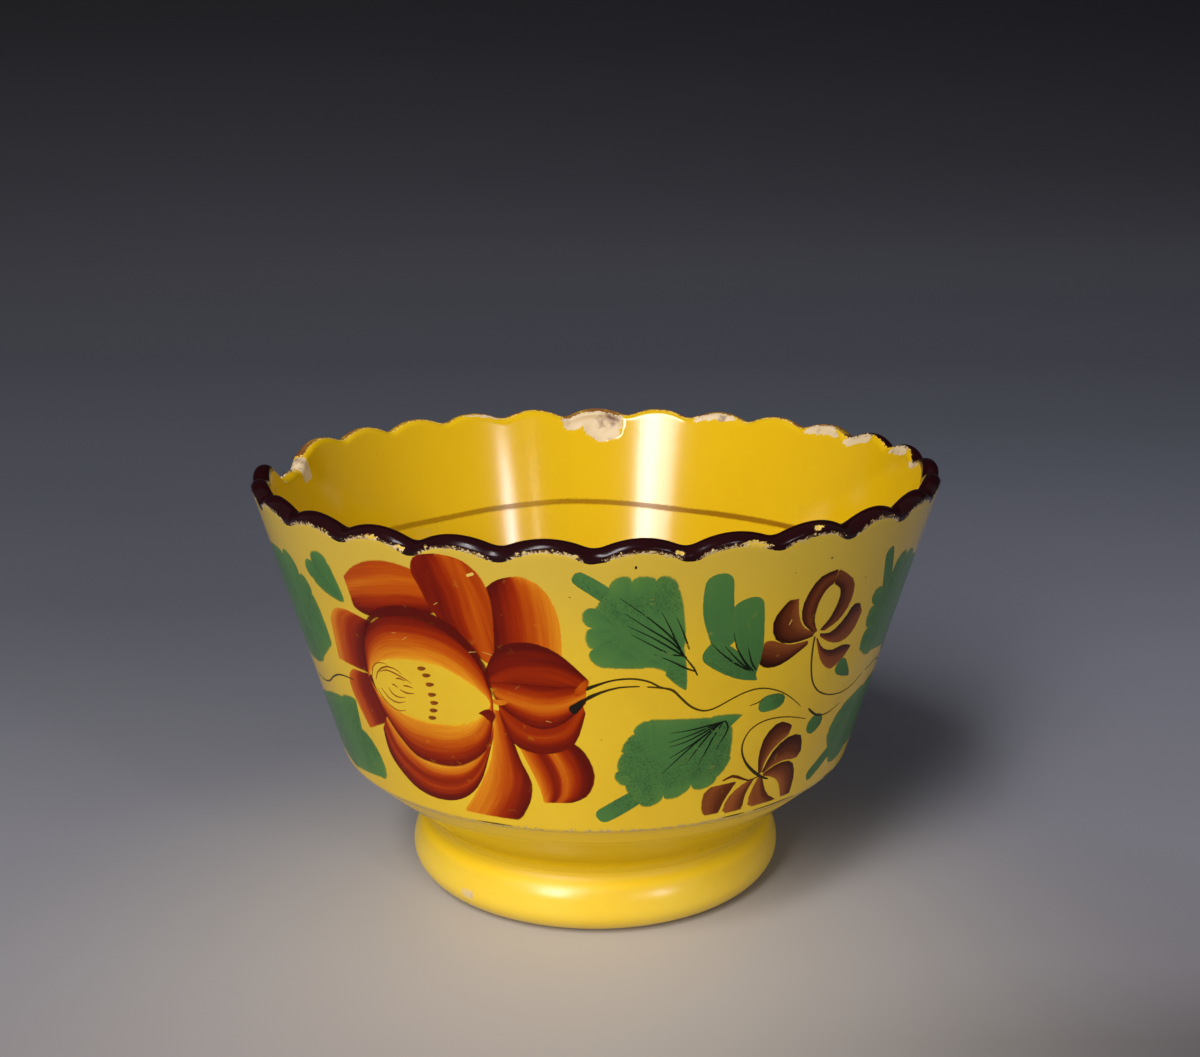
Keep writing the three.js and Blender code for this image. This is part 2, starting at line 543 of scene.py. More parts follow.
@dataclass
class Recipe:
    """Builds the nodes of one material or node group.

    Attributes:
        tree: The node tree that is built.
    """

    tree: NodeTree

    def node(self, kind: str, inputs: dict | None = None, **settings: object) -> Node:
        """Adds a node.

        Args:
            kind: The node's type, without ShaderNode.
            inputs: Values or output sockets for its inputs, by name or by number.
            settings: The node's own settings.

        Returns:
            The new node.
        """
        made = self.tree.nodes.new("ShaderNode" + kind)
        for key, value in settings.items():
            setattr(made, key, value)
        for key, value in (inputs or {}).items():
            if isinstance(value, NodeSocket):
                self.tree.links.new(value, made.inputs[key])
            else:
                made.inputs[key].default_value = value
        return made

    def math(self, operation: str, *values: object) -> NodeSocket:
        """Works out one number from others and gives its socket."""
        return self.node("Math", dict(enumerate(values)), operation=operation).outputs[0]

    def mix(self, factor: object, a: object, b: object, way: str = "MIX") -> NodeSocket:
        """Mixes two colours and gives the socket of the result."""
        made = self.node("Mix", {0: factor, 6: a, 7: b}, data_type="RGBA", blend_type=way)
        return made.outputs[2]

    def span(self, value: object, low: float, high: float) -> NodeSocket:
        """Spreads a number's range from low to high over 0 to 1, with soft ends."""
        inputs = {0: value, 1: low, 2: high, 3: 0.0, 4: 1.0}
        return self.node("MapRange", inputs, interpolation_type="SMOOTHSTEP").outputs[0]

    def ramp(self, value: object, stops: Stops) -> NodeSocket:
        """Turns a number into a colour.

        Args:
            value: The number, or its socket.
            stops: The colours by number.

        Returns:
            The socket of the colour.
        """
        made = self.node("ValToRGB", {0: value})
        elements = made.color_ramp.elements
        while len(elements) < len(stops):
            elements.new(0.5)
        for element, (place, color) in zip(elements, stops):
            element.position = place
            element.color = color
        return made.outputs[0]

    def noise(
        self, place: object, scale: object, detail: float = 3.0, rough: float = 0.5
    ) -> NodeSocket:
        """A noise pattern over a place, as one number."""
        inputs = {"Vector": place, "Scale": scale, "Detail": detail, "Roughness": rough}
        return self.node("TexNoise", inputs).outputs[0]

    def blots(self, place: object, kind: Blots) -> NodeSocket:
        """A pattern of soft blots over a place, from 0 between them to 1 within them."""
        return self.span(self.noise(place, kind.scale, kind.detail, kind.rough), kind.low, kind.high)

    def ragged(self, place: object, scale: float, swing: float) -> NodeSocket:
        """A fine noise over a place that swings evenly about 0."""
        return self.math("MULTIPLY_ADD", self.noise(place, scale, 4, 0.6), swing, -swing / 2)

    def stretch(self, place: object, scale: tuple[float, float, float]) -> NodeSocket:
        """A place with its axes scaled."""
        return self.node("Mapping", {"Vector": place, "Scale": scale}).outputs[0]

    def attribute(self, name: str) -> NodeSocket:
        """A number that the piece's own mesh carries."""
        return self.node("Attribute", attribute_name=name).outputs["Fac"]

    def bump(self, height: object, strength: float, distance: float) -> NodeSocket:
        """A normal bent by a height, with its depth in millimetres."""
        inputs = {"Strength": strength, "Distance": distance * MM, "Height": height}
        return self.node("Bump", inputs).outputs[0]


class Shared(Enum):
    """The effects that more than one finish uses."""

    GROUND = "canary_ground"
    FLAKING = "flaking"
    STREAKS = "brush_streaks"


class Effects:
    """Node groups shared by the finishes, each made once."""

    COLOR = "NodeSocketColor"
    FLOAT = "NodeSocketFloat"
    VECTOR = "NodeSocketVector"

    def __init__(self) -> None:
        """Builds every shared group."""
        self.trees = {
            Shared.GROUND: self.ground(),
            Shared.FLAKING: self.flaking(),
            Shared.STREAKS: self.streaks(),
        }

    @staticmethod
    def start(
        name: Shared, inputs: dict[str, str], outputs: dict[str, str]
    ) -> tuple[Recipe, Node, Node]:
        """Starts a group with named sockets.

        Args:
            name: Which effect the group makes.
            inputs: The kind of each input socket, by name.
            outputs: The kind of each output socket, by name.

        Returns:
            The group's recipe, its input node and its output node.
        """
        tree = bpy.data.node_groups.new(name.value, "ShaderNodeTree")
        for way, sockets in (("INPUT", inputs), ("OUTPUT", outputs)):
            for label, kind in sockets.items():
                tree.interface.new_socket(label, in_out=way, socket_type=kind)
        source = tree.nodes.new("NodeGroupInput")
        return Recipe(tree), source, tree.nodes.new("NodeGroupOutput")

    def ground(self) -> NodeTree:
        """The canary-yellow glaze: soft clouds, kiln specks and faint marks of turning.

        Returns:
            The group.
        """
        recipe, source, out = self.start(
            Shared.GROUND,
            {"Place": self.VECTOR, "Yellow": self.COLOR, "Deep": self.COLOR, "Speck": self.COLOR},
            {"Color": self.COLOR, "Height": self.FLOAT},
        )
        place = source.outputs["Place"]
        clouds = recipe.blots(place, GLAZE_CLOUDS)
        fine = recipe.blots(place, FINE_CLOUDS)
        shade = recipe.math("MULTIPLY_ADD", clouds, 0.34, recipe.math("MULTIPLY", fine, 0.16))
        color = recipe.mix(shade, source.outputs["Yellow"], source.outputs["Deep"])
        cells = recipe.node("TexVoronoi", {"Vector": place, "Scale": 330.0, "Randomness": 1.0})
        lot = recipe.node("SeparateColor", {0: cells.outputs["Color"]}).outputs[0]
        dots = recipe.span(cells.outputs["Distance"], 0.13, 0.05)
        dots = recipe.math("MULTIPLY", dots, recipe.math("GREATER_THAN", lot, 0.82))
        speckle = recipe.math("MULTIPLY", dots, recipe.blots(place, SPECK_PATCHES))
        color = recipe.mix(recipe.math("MULTIPLY", speckle, 0.5), color, source.outputs["Speck"])
        rings = recipe.stretch(place, (8.0, 8.0, 900.0))
        height = recipe.math("MULTIPLY", clouds, 0.8)
        height = recipe.math("MULTIPLY_ADD", recipe.noise(rings, 1.0, 2), 0.15, height)
        height = recipe.math("SUBTRACT", height, recipe.math("MULTIPLY", speckle, 0.5))
        for label, socket in (("Color", color), ("Height", height)):
            recipe.tree.links.new(socket, out.inputs[label])
        return recipe.tree

    def flaking(self) -> NodeTree:
        """Ragged places where a colour has flaked off: there the amount of wear beats a fine noise.

        Returns:
            The group.
        """
        inputs = {"Place": self.VECTOR, "Wear": self.FLOAT, "Scale": self.FLOAT}
        recipe, source, out = self.start(Shared.FLAKING, inputs, {"Mask": self.FLOAT})
        grain = recipe.noise(source.outputs["Place"], source.outputs["Scale"], 5.0, 0.62)
        gone = recipe.math("SUBTRACT", source.outputs["Wear"], recipe.span(grain, 0.32, 0.68))
        recipe.tree.links.new(recipe.span(gone, 0.0, 0.08), out.inputs["Mask"])
        return recipe.tree

    def streaks(self) -> NodeTree:
        """The hairs of a loaded brush: a tone that varies across the pull and hardly along it.

        Returns:
            The group.
        """
        recipe, source, out = self.start(
            Shared.STREAKS,
            {"Pull": self.VECTOR, "Tone": self.FLOAT, "Strength": self.FLOAT},
            {"Tone": self.FLOAT, "Height": self.FLOAT},
        )
        broad = recipe.stretch(source.outputs["Pull"], (0.07, 0.9, 1.0))
        hairs = recipe.stretch(source.outputs["Pull"], (0.16, 4.2, 1.0))
        wash = recipe.math("SUBTRACT", recipe.noise(broad, 1.0, 3), 0.5)
        fine = recipe.math("SUBTRACT", recipe.noise(hairs, 1.0, 4, 0.6), 0.5)
        swing = recipe.math("MULTIPLY_ADD", fine, 0.45, wash)
        swing = recipe.math("MULTIPLY", swing, source.outputs["Strength"])
        recipe.tree.links.new(recipe.math("ADD", source.outputs["Tone"], swing), out.inputs["Tone"])
        recipe.tree.links.new(fine, out.inputs["Height"])
        return recipe.tree

    def use(self, recipe: Recipe, effect: Shared, inputs: dict[str, object]) -> Node:
        """Places a shared effect in a material, with values or sockets for its inputs by name."""
        return recipe.node("Group", inputs, node_tree=self.trees[effect])


YELLOW = linear(231, 192, 24)
YELLOW_DEEP = linear(216, 172, 10)
# A deeper yellow: painted shade in the groove over the foot and over the whole inside, and pooled glaze in
# the groove.
YELLOW_POOLED_SHADED = linear(204, 166, 2)
# A paler yellow, laid thinly over the whole outside and more towards the lip.
YELLOW_PALE = linear(200, 172, 64)
# A brighter yellow: painted light on the underside and the top of the foot.
YELLOW_PAINTED_LIGHT = linear(255, 213, 8)
# The foot's yellows are paler and brighter than the bowl's: a painted sheen of the lamps' highlights.
FOOT_YELLOW_SHEEN = linear(234, 200, 58)
FOOT_DEEP_SHEEN = linear(232, 187, 30)
SPECK = linear(96, 66, 30)
CREAM_CLAY = linear(212, 192, 148)
STAINED_CLAY = linear(126, 96, 74)
RUBBED_GLAZE = linear(190, 168, 112)
RUBBED_DIRT = linear(112, 86, 54)
# The pool mark darkens the glaze with pooled glaze and painted shade; the soft mark paints light on the
# underside and the foot's top and roughens the glaze; the thin mark makes the outside paler.
GLAZE_MARKS = ("bare", "rub", "pooled_glaze_and_shade", "thin", "soft")
PAINT_MARKS = ("tone", "cover", "load")


def shader(
    name: str, recipe_of: Callable[[Recipe], dict[str, object]], constants: dict[str, object]
) -> Material:
    """Makes a material with one Principled shader.

    Args:
        name: Name of the material.
        recipe_of: Builds the nodes and gives the sockets that vary, by the shader's input names.
        constants: Values of the shader's own sockets.

    Returns:
        The new material.
    """
    material = bpy.data.materials.new(name)
    material.use_nodes = True
    tree = material.node_tree
    tree.nodes.clear()
    principled = tree.nodes.new("ShaderNodeBsdfPrincipled")
    output = tree.nodes.new("ShaderNodeOutputMaterial")
    tree.links.new(principled.outputs[0], output.inputs[0])
    for key, value in constants.items():
        principled.inputs[key].default_value = value
    for key, socket in recipe_of(Recipe(tree)).items():
        tree.links.new(socket, principled.inputs[key])
    return material


@dataclass(frozen=True)
class GlazeFinish:
    """The yellow ground of the bowl and the foot.

    Attributes:
        name: Name of the material.
        yellow: Colour where the glaze is even.
        deep: Colour where it lies thicker.
        roughness: Roughness of the sound glaze.
    """

    name: str
    yellow: Tint = YELLOW
    deep: Tint = YELLOW_DEEP
    roughness: float = 0.15

    def make(self, effects: Effects) -> Material:
        """Makes the material.

        Args:
            effects: The shared effects.

        Returns:
            The material.
        """

        def worn(recipe: Recipe, place: object, mark: str, scale: float) -> NodeSocket:
            """The mask of the places that a mark of the mesh wears away."""
            inputs = {"Place": place, "Wear": recipe.attribute(mark), "Scale": scale}
            return effects.use(recipe, Shared.FLAKING, inputs).outputs[0]

        def recipe_of(recipe: Recipe) -> dict[str, object]:
            """Lays pale and pooled glaze, painted shade and painted light, rubbed places and bare clay over
            the ground.

            Args:
                recipe: The material's recipe.

            Returns:
                The sockets that vary, by the shader's input names.
            """
            place = recipe.node("TexCoord").outputs["Object"]
            ground_inputs = {"Place": place, "Yellow": self.yellow, "Deep": self.deep, "Speck": SPECK}
            ground = effects.use(recipe, Shared.GROUND, ground_inputs)
            # The thin mark makes the outside paler, most towards the lip.
            color = recipe.mix(recipe.attribute("thin"), ground.outputs["Color"], YELLOW_PALE)
            # Painted light: the soft mark mixes a brighter yellow into the underside and the foot's top, and
            # also roughens the glaze.
            soft = recipe.math("MAXIMUM", recipe.attribute("soft"), 0.0)
            color = recipe.mix(recipe.math("MULTIPLY", soft, 0.9), color, YELLOW_PAINTED_LIGHT)
            # Painted shade: darker in the groove over the foot, where glaze also pooled, and all over the
            # inside.
            color = recipe.mix(recipe.attribute("pooled_glaze_and_shade"), color, YELLOW_POOLED_SHADED)
            rub = worn(recipe, place, "rub", RUB_GRAIN)
            dirt = recipe.blots(place, RUBBED_IN_DIRT)
            rubbed = recipe.mix(dirt, RUBBED_GLAZE, RUBBED_DIRT)
            color = recipe.mix(recipe.math("MULTIPLY", rub, 0.7), color, rubbed)
            stain = recipe.blots(place, CLAY_STAINS)
            torn = recipe.ragged(place, 480, 0.4)
            bare = recipe.span(recipe.math("ADD", recipe.attribute("bare"), torn), 0.34, 0.6)
            color = recipe.mix(bare, color, recipe.mix(stain, CREAM_CLAY, STAINED_CLAY))
            dull = recipe.math("MAXIMUM", bare, recipe.math("MULTIPLY", rub, 0.7))
            rough = recipe.math("MULTIPLY_ADD", soft, 0.22, self.roughness)
            height = recipe.math("SUBTRACT", ground.outputs["Height"], recipe.math("MULTIPLY", bare, 2.0))
            height = recipe.math("MULTIPLY_ADD", stain, recipe.math("MULTIPLY", bare, 0.8), height)
            return {
                "Base Color": color,
                "Roughness": recipe.math("MULTIPLY_ADD", dull, 0.45, rough),
                "Normal": recipe.bump(height, 0.22, 0.06),
            }

        return shader(self.name, recipe_of, {"Specular IOR Level": 0.5, "IOR": 1.5})


@dataclass(frozen=True)
class PaintFinish:
    """An enamel laid on with the brush, thin enough at its edges for the yellow to show.

    Attributes:
        name: Name of the material.
        stops: Colours by tone, from the thinnest paint to the fullest.
        streak: How much the brush's hairs vary the tone.
        mottle: How much darker grains show in the paint.
        worn: How much of the paint has flaked off everywhere.
        roughness: Roughness of the sound paint.
        dry: How far the brush's hairs break up the paint's edges.
    """

    name: str
    stops: Stops
    streak: float = 0.3
    mottle: float = 0.0
    worn: float = 0.02
    roughness: float = 0.2
    dry: float = 0.6

    def make(self, effects: Effects) -> Material:
        """Makes the material.

        Args:
            effects: The shared effects.

        Returns:
            The material.
        """

        def recipe_of(recipe: Recipe) -> dict[str, object]:
            """Streaks and grains the paint, and thins it out to nothing at its edges.

            Args:
                recipe: The material's recipe.

            Returns:
                The sockets that vary, by the shader's input names.
            """
            place = recipe.node("TexCoord").outputs["Object"]
            pull = recipe.node("UVMap", uv_map="pull").outputs[0]
            inputs = {"Pull": pull, "Tone": recipe.attribute("tone"), "Strength": self.streak}
            brushed = effects.use(recipe, Shared.STREAKS, inputs)
            paint = recipe.ramp(brushed.outputs["Tone"], self.stops)
            grains = recipe.blots(place, PAINT_GRAINS)
            patches = recipe.blots(place, GRAIN_PATCHES)
            grains = recipe.math("MULTIPLY", recipe.math("MULTIPLY", grains, patches), self.mottle)
            paint = recipe.mix(grains, paint, self.stops[-1][1])
            fuzz = recipe.ragged(place, 1500, 0.5)
            fuzz = recipe.math("MULTIPLY_ADD", brushed.outputs["Height"], self.dry, fuzz)
            cover = recipe.span(recipe.math("ADD", recipe.attribute("cover"), fuzz), 0.2, 1.0)
            flake_inputs = {"Place": place, "Wear": self.worn, "Scale": FLAKE_GRAIN}
            flakes = effects.use(recipe, Shared.FLAKING, flake_inputs).outputs[0]
            cover = recipe.math("MULTIPLY", cover, recipe.math("SUBTRACT", 1.0, flakes))
            cover = recipe.math("MULTIPLY", cover, recipe.attribute("load"))
            seen = recipe.math("SUBTRACT", 1.0, recipe.node("LightPath").outputs["Is Shadow Ray"])
            return {
                "Base Color": paint,
                "Alpha": recipe.math("MULTIPLY", cover, seen),
                "Normal": recipe.bump(brushed.outputs["Height"], 0.15, 0.04),
            }

        return shader(self.name, recipe_of, {"Roughness": self.roughness, "Specular IOR Level": 0.12})


@dataclass(frozen=True)
class RimFinish:
    """The brown-black enamel on the lip, worn through to glaze and clay.

    Attributes:
        name: Name of the material.
        full: Colour of thick enamel.
        thin: Colour of thin enamel.
        faded: Colour of the stain that is left where the enamel is rubbed away.
    """

    name: str = "rim_brown_black"
    full: Tint = linear(31, 6, 8)
    thin: Tint = linear(140, 104, 60)
    faded: Tint = linear(142, 94, 46)

    def make(self, effects: Effects) -> Material:
        """Makes the material.

        Args:
            effects: The shared effects.

        Returns:
            The material.
        """

        def recipe_of(recipe: Recipe) -> dict[str, object]:
            """Wears the enamel through to the glaze, and the glaze through to the clay.

            Args:
                recipe: The material's recipe.

            Returns:
                The sockets that vary, by the shader's input names.
            """
            place = recipe.node("TexCoord").outputs["Object"]
            wear = recipe.attribute("wear")
            inputs = {"Place": place, "Yellow": YELLOW, "Deep": YELLOW_DEEP, "Speck": SPECK}
            ground = effects.use(recipe, Shared.GROUND, inputs)
            uneven = recipe.blots(place, THIN_ENAMEL)
            enamel = recipe.mix(uneven, self.full, self.thin)
            enamel = recipe.mix(recipe.span(wear, 0.1, 0.6), self.full, enamel)
            patchy = recipe.blots(place, RUBBED_ENAMEL)
            stained = recipe.mix(patchy, self.faded, ground.outputs["Color"])
            enamel = recipe.mix(recipe.attribute("faded"), enamel, stained)
            inputs = {"Place": place, "Wear": wear, "Scale": LIP_GRAIN}
            gone = effects.use(recipe, Shared.FLAKING, inputs).outputs[0]
            stain = recipe.blots(place, LIP_STAINS)
            bare = recipe.attribute("bare")
            under = recipe.mix(bare, ground.outputs["Color"], recipe.mix(stain, CREAM_CLAY, STAINED_CLAY))
            height = recipe.math("MULTIPLY", gone, -1.0)
            return {
                "Base Color": recipe.mix(gone, enamel, under),
                "Roughness": recipe.math("MULTIPLY_ADD", gone, 0.5, 0.19),
                "Normal": recipe.bump(height, 0.25, 0.08),
            }

        return shader(self.name, recipe_of, {"IOR": 1.45, "Specular IOR Level": 0.24})


@dataclass
class Turned:
    """A piece that is turned as an even skin and then brought to its worn and warped form.

    Attributes:
        form: The form of the cup.
        name: Name of the piece.
        slot: The record's material slot; not used.
        node: The CAD node that the piece stands for.
        steps: Steps of the full turn.
        marks: Names of the numbers that each vertex carries for the material.
    """

    form: CupForm
    name: str = ""
    slot: str = "yellow_glaze"
    node: str = ""
    steps: int = 360
    marks: tuple[str, ...] = GLAZE_MARKS

    def section(self) -> Section:
        """Draws the half section of the even skin."""
        raise NotImplementedError

    def place(self, turn: float, radius: float, height: float) -> tuple[Marks, Vector | None]:
        """Brings a point of the even skin to its place on the real cup.

        Args:
            turn: Turn of the point in degrees.
            radius: Its radius.
            height: Its height.

        Returns:
            Its marks, and its place in metres if it moves.
        """
        raise NotImplementedError

    def streak(self, mesh: BMesh) -> None:
        """Notes the way of the brush on the even skin of a painted piece."""

    def build(self, material: Material) -> Object:
        """Builds the piece and hangs it on the cup.

        Args:
            material: The material of the piece.

        Returns:
            The piece.
        """
        mesh = self.section().turn(self.steps, self.marks)
        self.streak(mesh)
        layers = mesh.verts.layers.float
        for vert in mesh.verts:
            radius, height = math.hypot(vert.co.x, vert.co.y) / MM, vert.co.z / MM
            marks, point = self.place(turn_of(vert.co), radius, height)
            for mark, amount in marks.items():
                vert[layers[mark]] = amount
            if point is not None:
                vert.co = point
        return finish_piece(self.name, mesh, material, [self.node])


@dataclass
class Bowl(Turned):
    """The bowl from its base to the lip, with chips in the lip and a rubbed edge.

    Attributes:
        neck_height: Height of the neck above the foot ring.
        neck_soft: Leg of the round where the neck turns out.
        underside: Thickness of the sloping underside.
        floor: Thickness of the floor.
        floor_soft: Leg of the round where the floor turns up.
        wall_soft: Leg of the round where the wall begins inside.
        edge_soft: Leg of the round on the turned edge.
        round_steps: Edges in the rounds of the lip, of a tight corner and of a wide one.
        groove_top: Height up to which the groove over the foot is finely divided.
        edge_zone: How far up and down from the turned edge the skin is finely divided.
        lip_zone: Height from which the wall is finely divided up to the lip.
        lip_pitch: Longest edges of the section near the lip, inside and outside.
        pitches: Longest edges of the section where it is finely divided and elsewhere.
        chip_zone: Height above which the inside is chipped.
        pool_and_shade_height: Middle of the pooled glaze and painted shade in the groove over the foot.
        inner_painted_shade: How much painted shade darkens the whole inside.
        under_rim: Heights from which the glaze is rubbed under the enamel.
        paling: Heights between which the outside grows paler towards the lip.
        broken_from: Heights at which the broken face begins, outside and inside.
    """

    name: str = "glazed_bowl"
    node: str = "cup_bowl"
    steps: int = STEPS_PER_LOBE * CupForm.lobes
    neck_height: float = 0.8
    neck_soft: float = 0.4
    underside: float = 3.2
    floor: float = 3.6
    floor_soft: float = 6.0
    wall_soft: float = 3.8
    edge_soft: float = 0.35
    round_steps: tuple[int, int, int] = (16, 3, 7)
    groove_top: float = 11.6
    edge_zone: float = 1.2
    lip_zone: float = 56.2
    lip_pitch: Spot = (0.36, 0.6)
    pitches: Spot = (0.3, 2.6)
    chip_zone: float = 55.0
    pool_and_shade_height: float = 9.3
    inner_painted_shade: float = 0.65
    under_rim: Band = (60.7, 61.1)
    paling: Band = (42.0, 61.0)
    broken_from: Spot = (58.6, 57.6)

    def section(self) -> Section:
        """Draws the half section from the middle of the base, up the outside and down the inside.

        Returns:
            The section.
        """
        form = self.form
        base = form.foot_height
        neck = Vector((form.neck_radius, base + self.neck_height))
        edge = Vector((form.edge_radius, form.edge_height))
        slope = (edge - neck).normalized()
        inside = edge + Vector((-slope.y, slope.x)) * self.underside
        wall_foot = Vector((form.inner_radius(form.edge_height), form.edge_height))
        wall_run = Vector((math.sin(form.inner_lean), math.cos(form.inner_lean)))
        level = Vector((0, base + self.floor))
        line = Section()
        line.to(0, base)
        line.to(form.neck_radius, base)
        neck_corner = line.to(*neck)
        for height in (self.groove_top, form.edge_height - self.edge_zone):
            line.to(*(neck + slope * ((height - neck.y) / slope.y)))
        edge_corner = line.to(*edge)
        for height in (form.edge_height + self.edge_zone, self.lip_zone):
            line.to(form.outer_radius(height), height)
        lip, start = form.lip_centre, -form.outer_lean
        lip_steps, tight, wide = self.round_steps
        line.to(lip.x + form.lip_radius * math.cos(start), lip.y + form.lip_radius * math.sin(start))
        line.swing(tuple(lip), math.pi + form.outer_lean - form.inner_lean, lip_steps)
        line.to(form.inner_radius(self.lip_zone), self.lip_zone)
        slope_corner = line.to(*crossing(inside, slope, wall_foot, wall_run))
        floor_corner = line.to(*crossing(inside, slope, level, Vector((1, 0))))
        line.to(*level)
        line.soften(neck_corner, self.neck_soft, tight)
        line.soften(edge_corner, self.edge_soft, tight)
        line.soften(slope_corner, self.wall_soft, wide)
        line.soften(floor_corner, self.floor_soft, wide)
        line.split(self.pitch)
        return line

    def pitch(self, middle: Vector) -> float:
        """The longest edge wanted round a point of the section: short by the lip, longer lower down.

        Args:
            middle: The point, in metres.

        Returns:
            The length.
        """
        height, inside = middle.z / MM, -middle.y / MM < self.form.outer_radius(middle.z / MM) - 0.8
        if height > self.lip_zone:
            return self.lip_pitch[0 if inside else 1]
        fine = abs(height - self.form.edge_height) < self.edge_zone or height < self.groove_top
        return self.pitches[0 if fine and not inside else 1]

    def outside_marks(self, turn: float, height: float) -> Marks:
        """How worn, pale or pooled the glaze is at a place on the outside, with shade painted into the
        groove over the foot and light painted on to the underside.

        Args:
            turn: Turn in degrees.
            height: Height.

        Returns:
            The amounts by mark.
        """
        form = self.form
        under_rim = ease(height, *self.under_rim) * ease(form.from_crest(turn), 0.9, 0.5)
        patch = 0.5 + 0.8 * waver(turn * 0.11, 3.0, 0.5)
        edge = ease(abs(height - form.edge_height - 0.05), 0.42, 0.08) * (0.34 + 0.44 * patch)
        return {
            "rub": max(0.3 * under_rim * patch, edge),
            "thin": 0.12 + 0.6 * ease(height, *self.paling),
            # Pooled glaze and painted shade in the groove over the foot.
            "pooled_glaze_and_shade": 0.8 * ease(abs(height - self.pool_and_shade_height), 1.6, 0.2),
            "bare": form.broken_face(turn, height, self.broken_from[0]),
            # Painted light on the underside, whose glaze is also rougher.
            "soft": ease(height, 21.0, 20.0),
        }

    def inside_marks(self, turn: float, height: float) -> Marks:
        """How bare the inside of the wall is at a place near the lip, by mark, with the painted shade that
        darkens the whole inside.

        Args:
            turn: Turn of the place in degrees.
            height: Height of the place.

        Returns:
            The marks by name.
        """
        bare = max(ease(chip.bite(turn, height), 0.0, 0.06) for chip in LIP_CHIPS)
        broken = self.form.broken_face(turn, height, self.broken_from[1])
        return {"bare": max(bare, broken), "pooled_glaze_and_shade": self.inner_painted_shade}

    def place(self, turn: float, radius: float, height: float) -> tuple[Marks, Vector]:
        """Cuts, chips and warps the skin, and notes where it is bare, rubbed or pooled, and where shade and
        light are painted on.

        Args:
            turn: Turn of the place in degrees.
            radius: Its distance from the axis.
            height: Height of the place.

        Returns:
            The marks of the place by name, and its spot in metres.
        """
        form = self.form
        bead = height > form.lip_centre.y - 0.6
        inside = radius < (form.lip_centre.x + 0.55 if bead else form.inner_radius(height) + 1.0)
        if not inside or height <= form.foot_height + 2:
            marks = self.outside_marks(turn, height)
            radius = form.filled(radius, height)
        elif height > self.chip_zone:
            marks = self.inside_marks(turn, height)
            radius, height = form.chipped(radius, height, turn)
        else:
            marks = {"pooled_glaze_and_shade": self.inner_painted_shade}
        return marks, form.at(*form.settle(radius, height, turn), turn)


@dataclass
class FootRing(Turned):
    """The turned foot ring, a full round bead that draws in to the neck.

    Attributes:
        radius: Outside of the bead.
        bead_height: Level at which the bead is widest.
        upper_inset: Level half width of the round above the widest part.
        lower_inset: Level half width of the round below it.
        stand_inner: Inside radius of the flat ring that the cup stands on.
        top_inner: Inside radius at the top.
        arc_steps: Edges in each half of the bead's round.
        pitch: Longest edge of the section.
        scuff: Turn and height of the scuffed place.
    """

    name: str = "glazed_foot"
    node: str = "foot_ring"
    radius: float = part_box("foot_ring")[1].x / MM
    bead_height: float = 3.7
    upper_inset: float = 4.5
    lower_inset: float = 4.4
    stand_inner: float = 22.6
    top_inner: float = 22.0
    arc_steps: int = 14
    pitch: float = 1.6
    scuff: Spot = (319.5, 3.6)

    def section(self) -> Section:
        """Draws the ring's section from its inner foot, round the bead to the neck, and back inside.

        Returns:
            The section.
        """
        line = Section()
        line.to(self.stand_inner, 0)
        for step in range(self.arc_steps + 1):
            angle = math.pi / 2 * (1 - step / self.arc_steps)
            inset = self.lower_inset * (1 - math.cos(angle))
            line.to(self.radius - inset, self.bead_height * (1 - math.sin(angle)))
        reach = math.acos(1 - (self.radius - self.form.neck_radius) / self.upper_inset)
        rise = self.form.foot_height - self.bead_height
        for step in range(1, self.arc_steps + 1):
            angle = reach * step / self.arc_steps
            inset = self.upper_inset * (1 - math.cos(angle))
            line.to(self.radius - inset, self.bead_height + rise * math.sin(angle))
        line.to(self.form.neck_radius, self.form.foot_height)
        line.to(self.top_inner, self.form.foot_height)
        line.close()
        line.split(lambda middle: self.pitch)
        return line

    def place(self, turn: float, radius: float, height: float) -> tuple[Marks, Vector | None]:
        """Fills the groove over the ring with glaze, and notes where it is bare or pooled, and where shade
        and light are painted on.

        Args:
            turn: Turn of the place in degrees.
            radius: Its distance from the axis.
            height: Height of the place.

        Returns:
            The marks of the place by name, and its spot in metres, or None where it stays.
        """
        scuff = ease(abs(turn_gap(turn, self.scuff[0])), 6.0, 1.5)
        scuff *= ease(abs(height - self.scuff[1]), 1.8, 0.3)
        marks = {
            "bare": max(0.52 * scuff, 0.8 * ease(height, 0.25, 0.02)),
            # Pooled glaze and painted shade at the top of the foot, by the groove.
            "pooled_glaze_and_shade": 0.7 * ease(height, 7.2, 8.8),
            # Painted light on the top of the foot, whose glaze is also rougher.
            "soft": ease(height, 6.4, 8.0),
        }
        if radius <= self.radius - 3:
            return marks, None
        way = math.radians(turn)
        radius = self.form.filled(radius, height) + 0.04 * waver(math.sin(way), math.cos(way), 4)
        return marks, self.form.at(radius, height, turn)


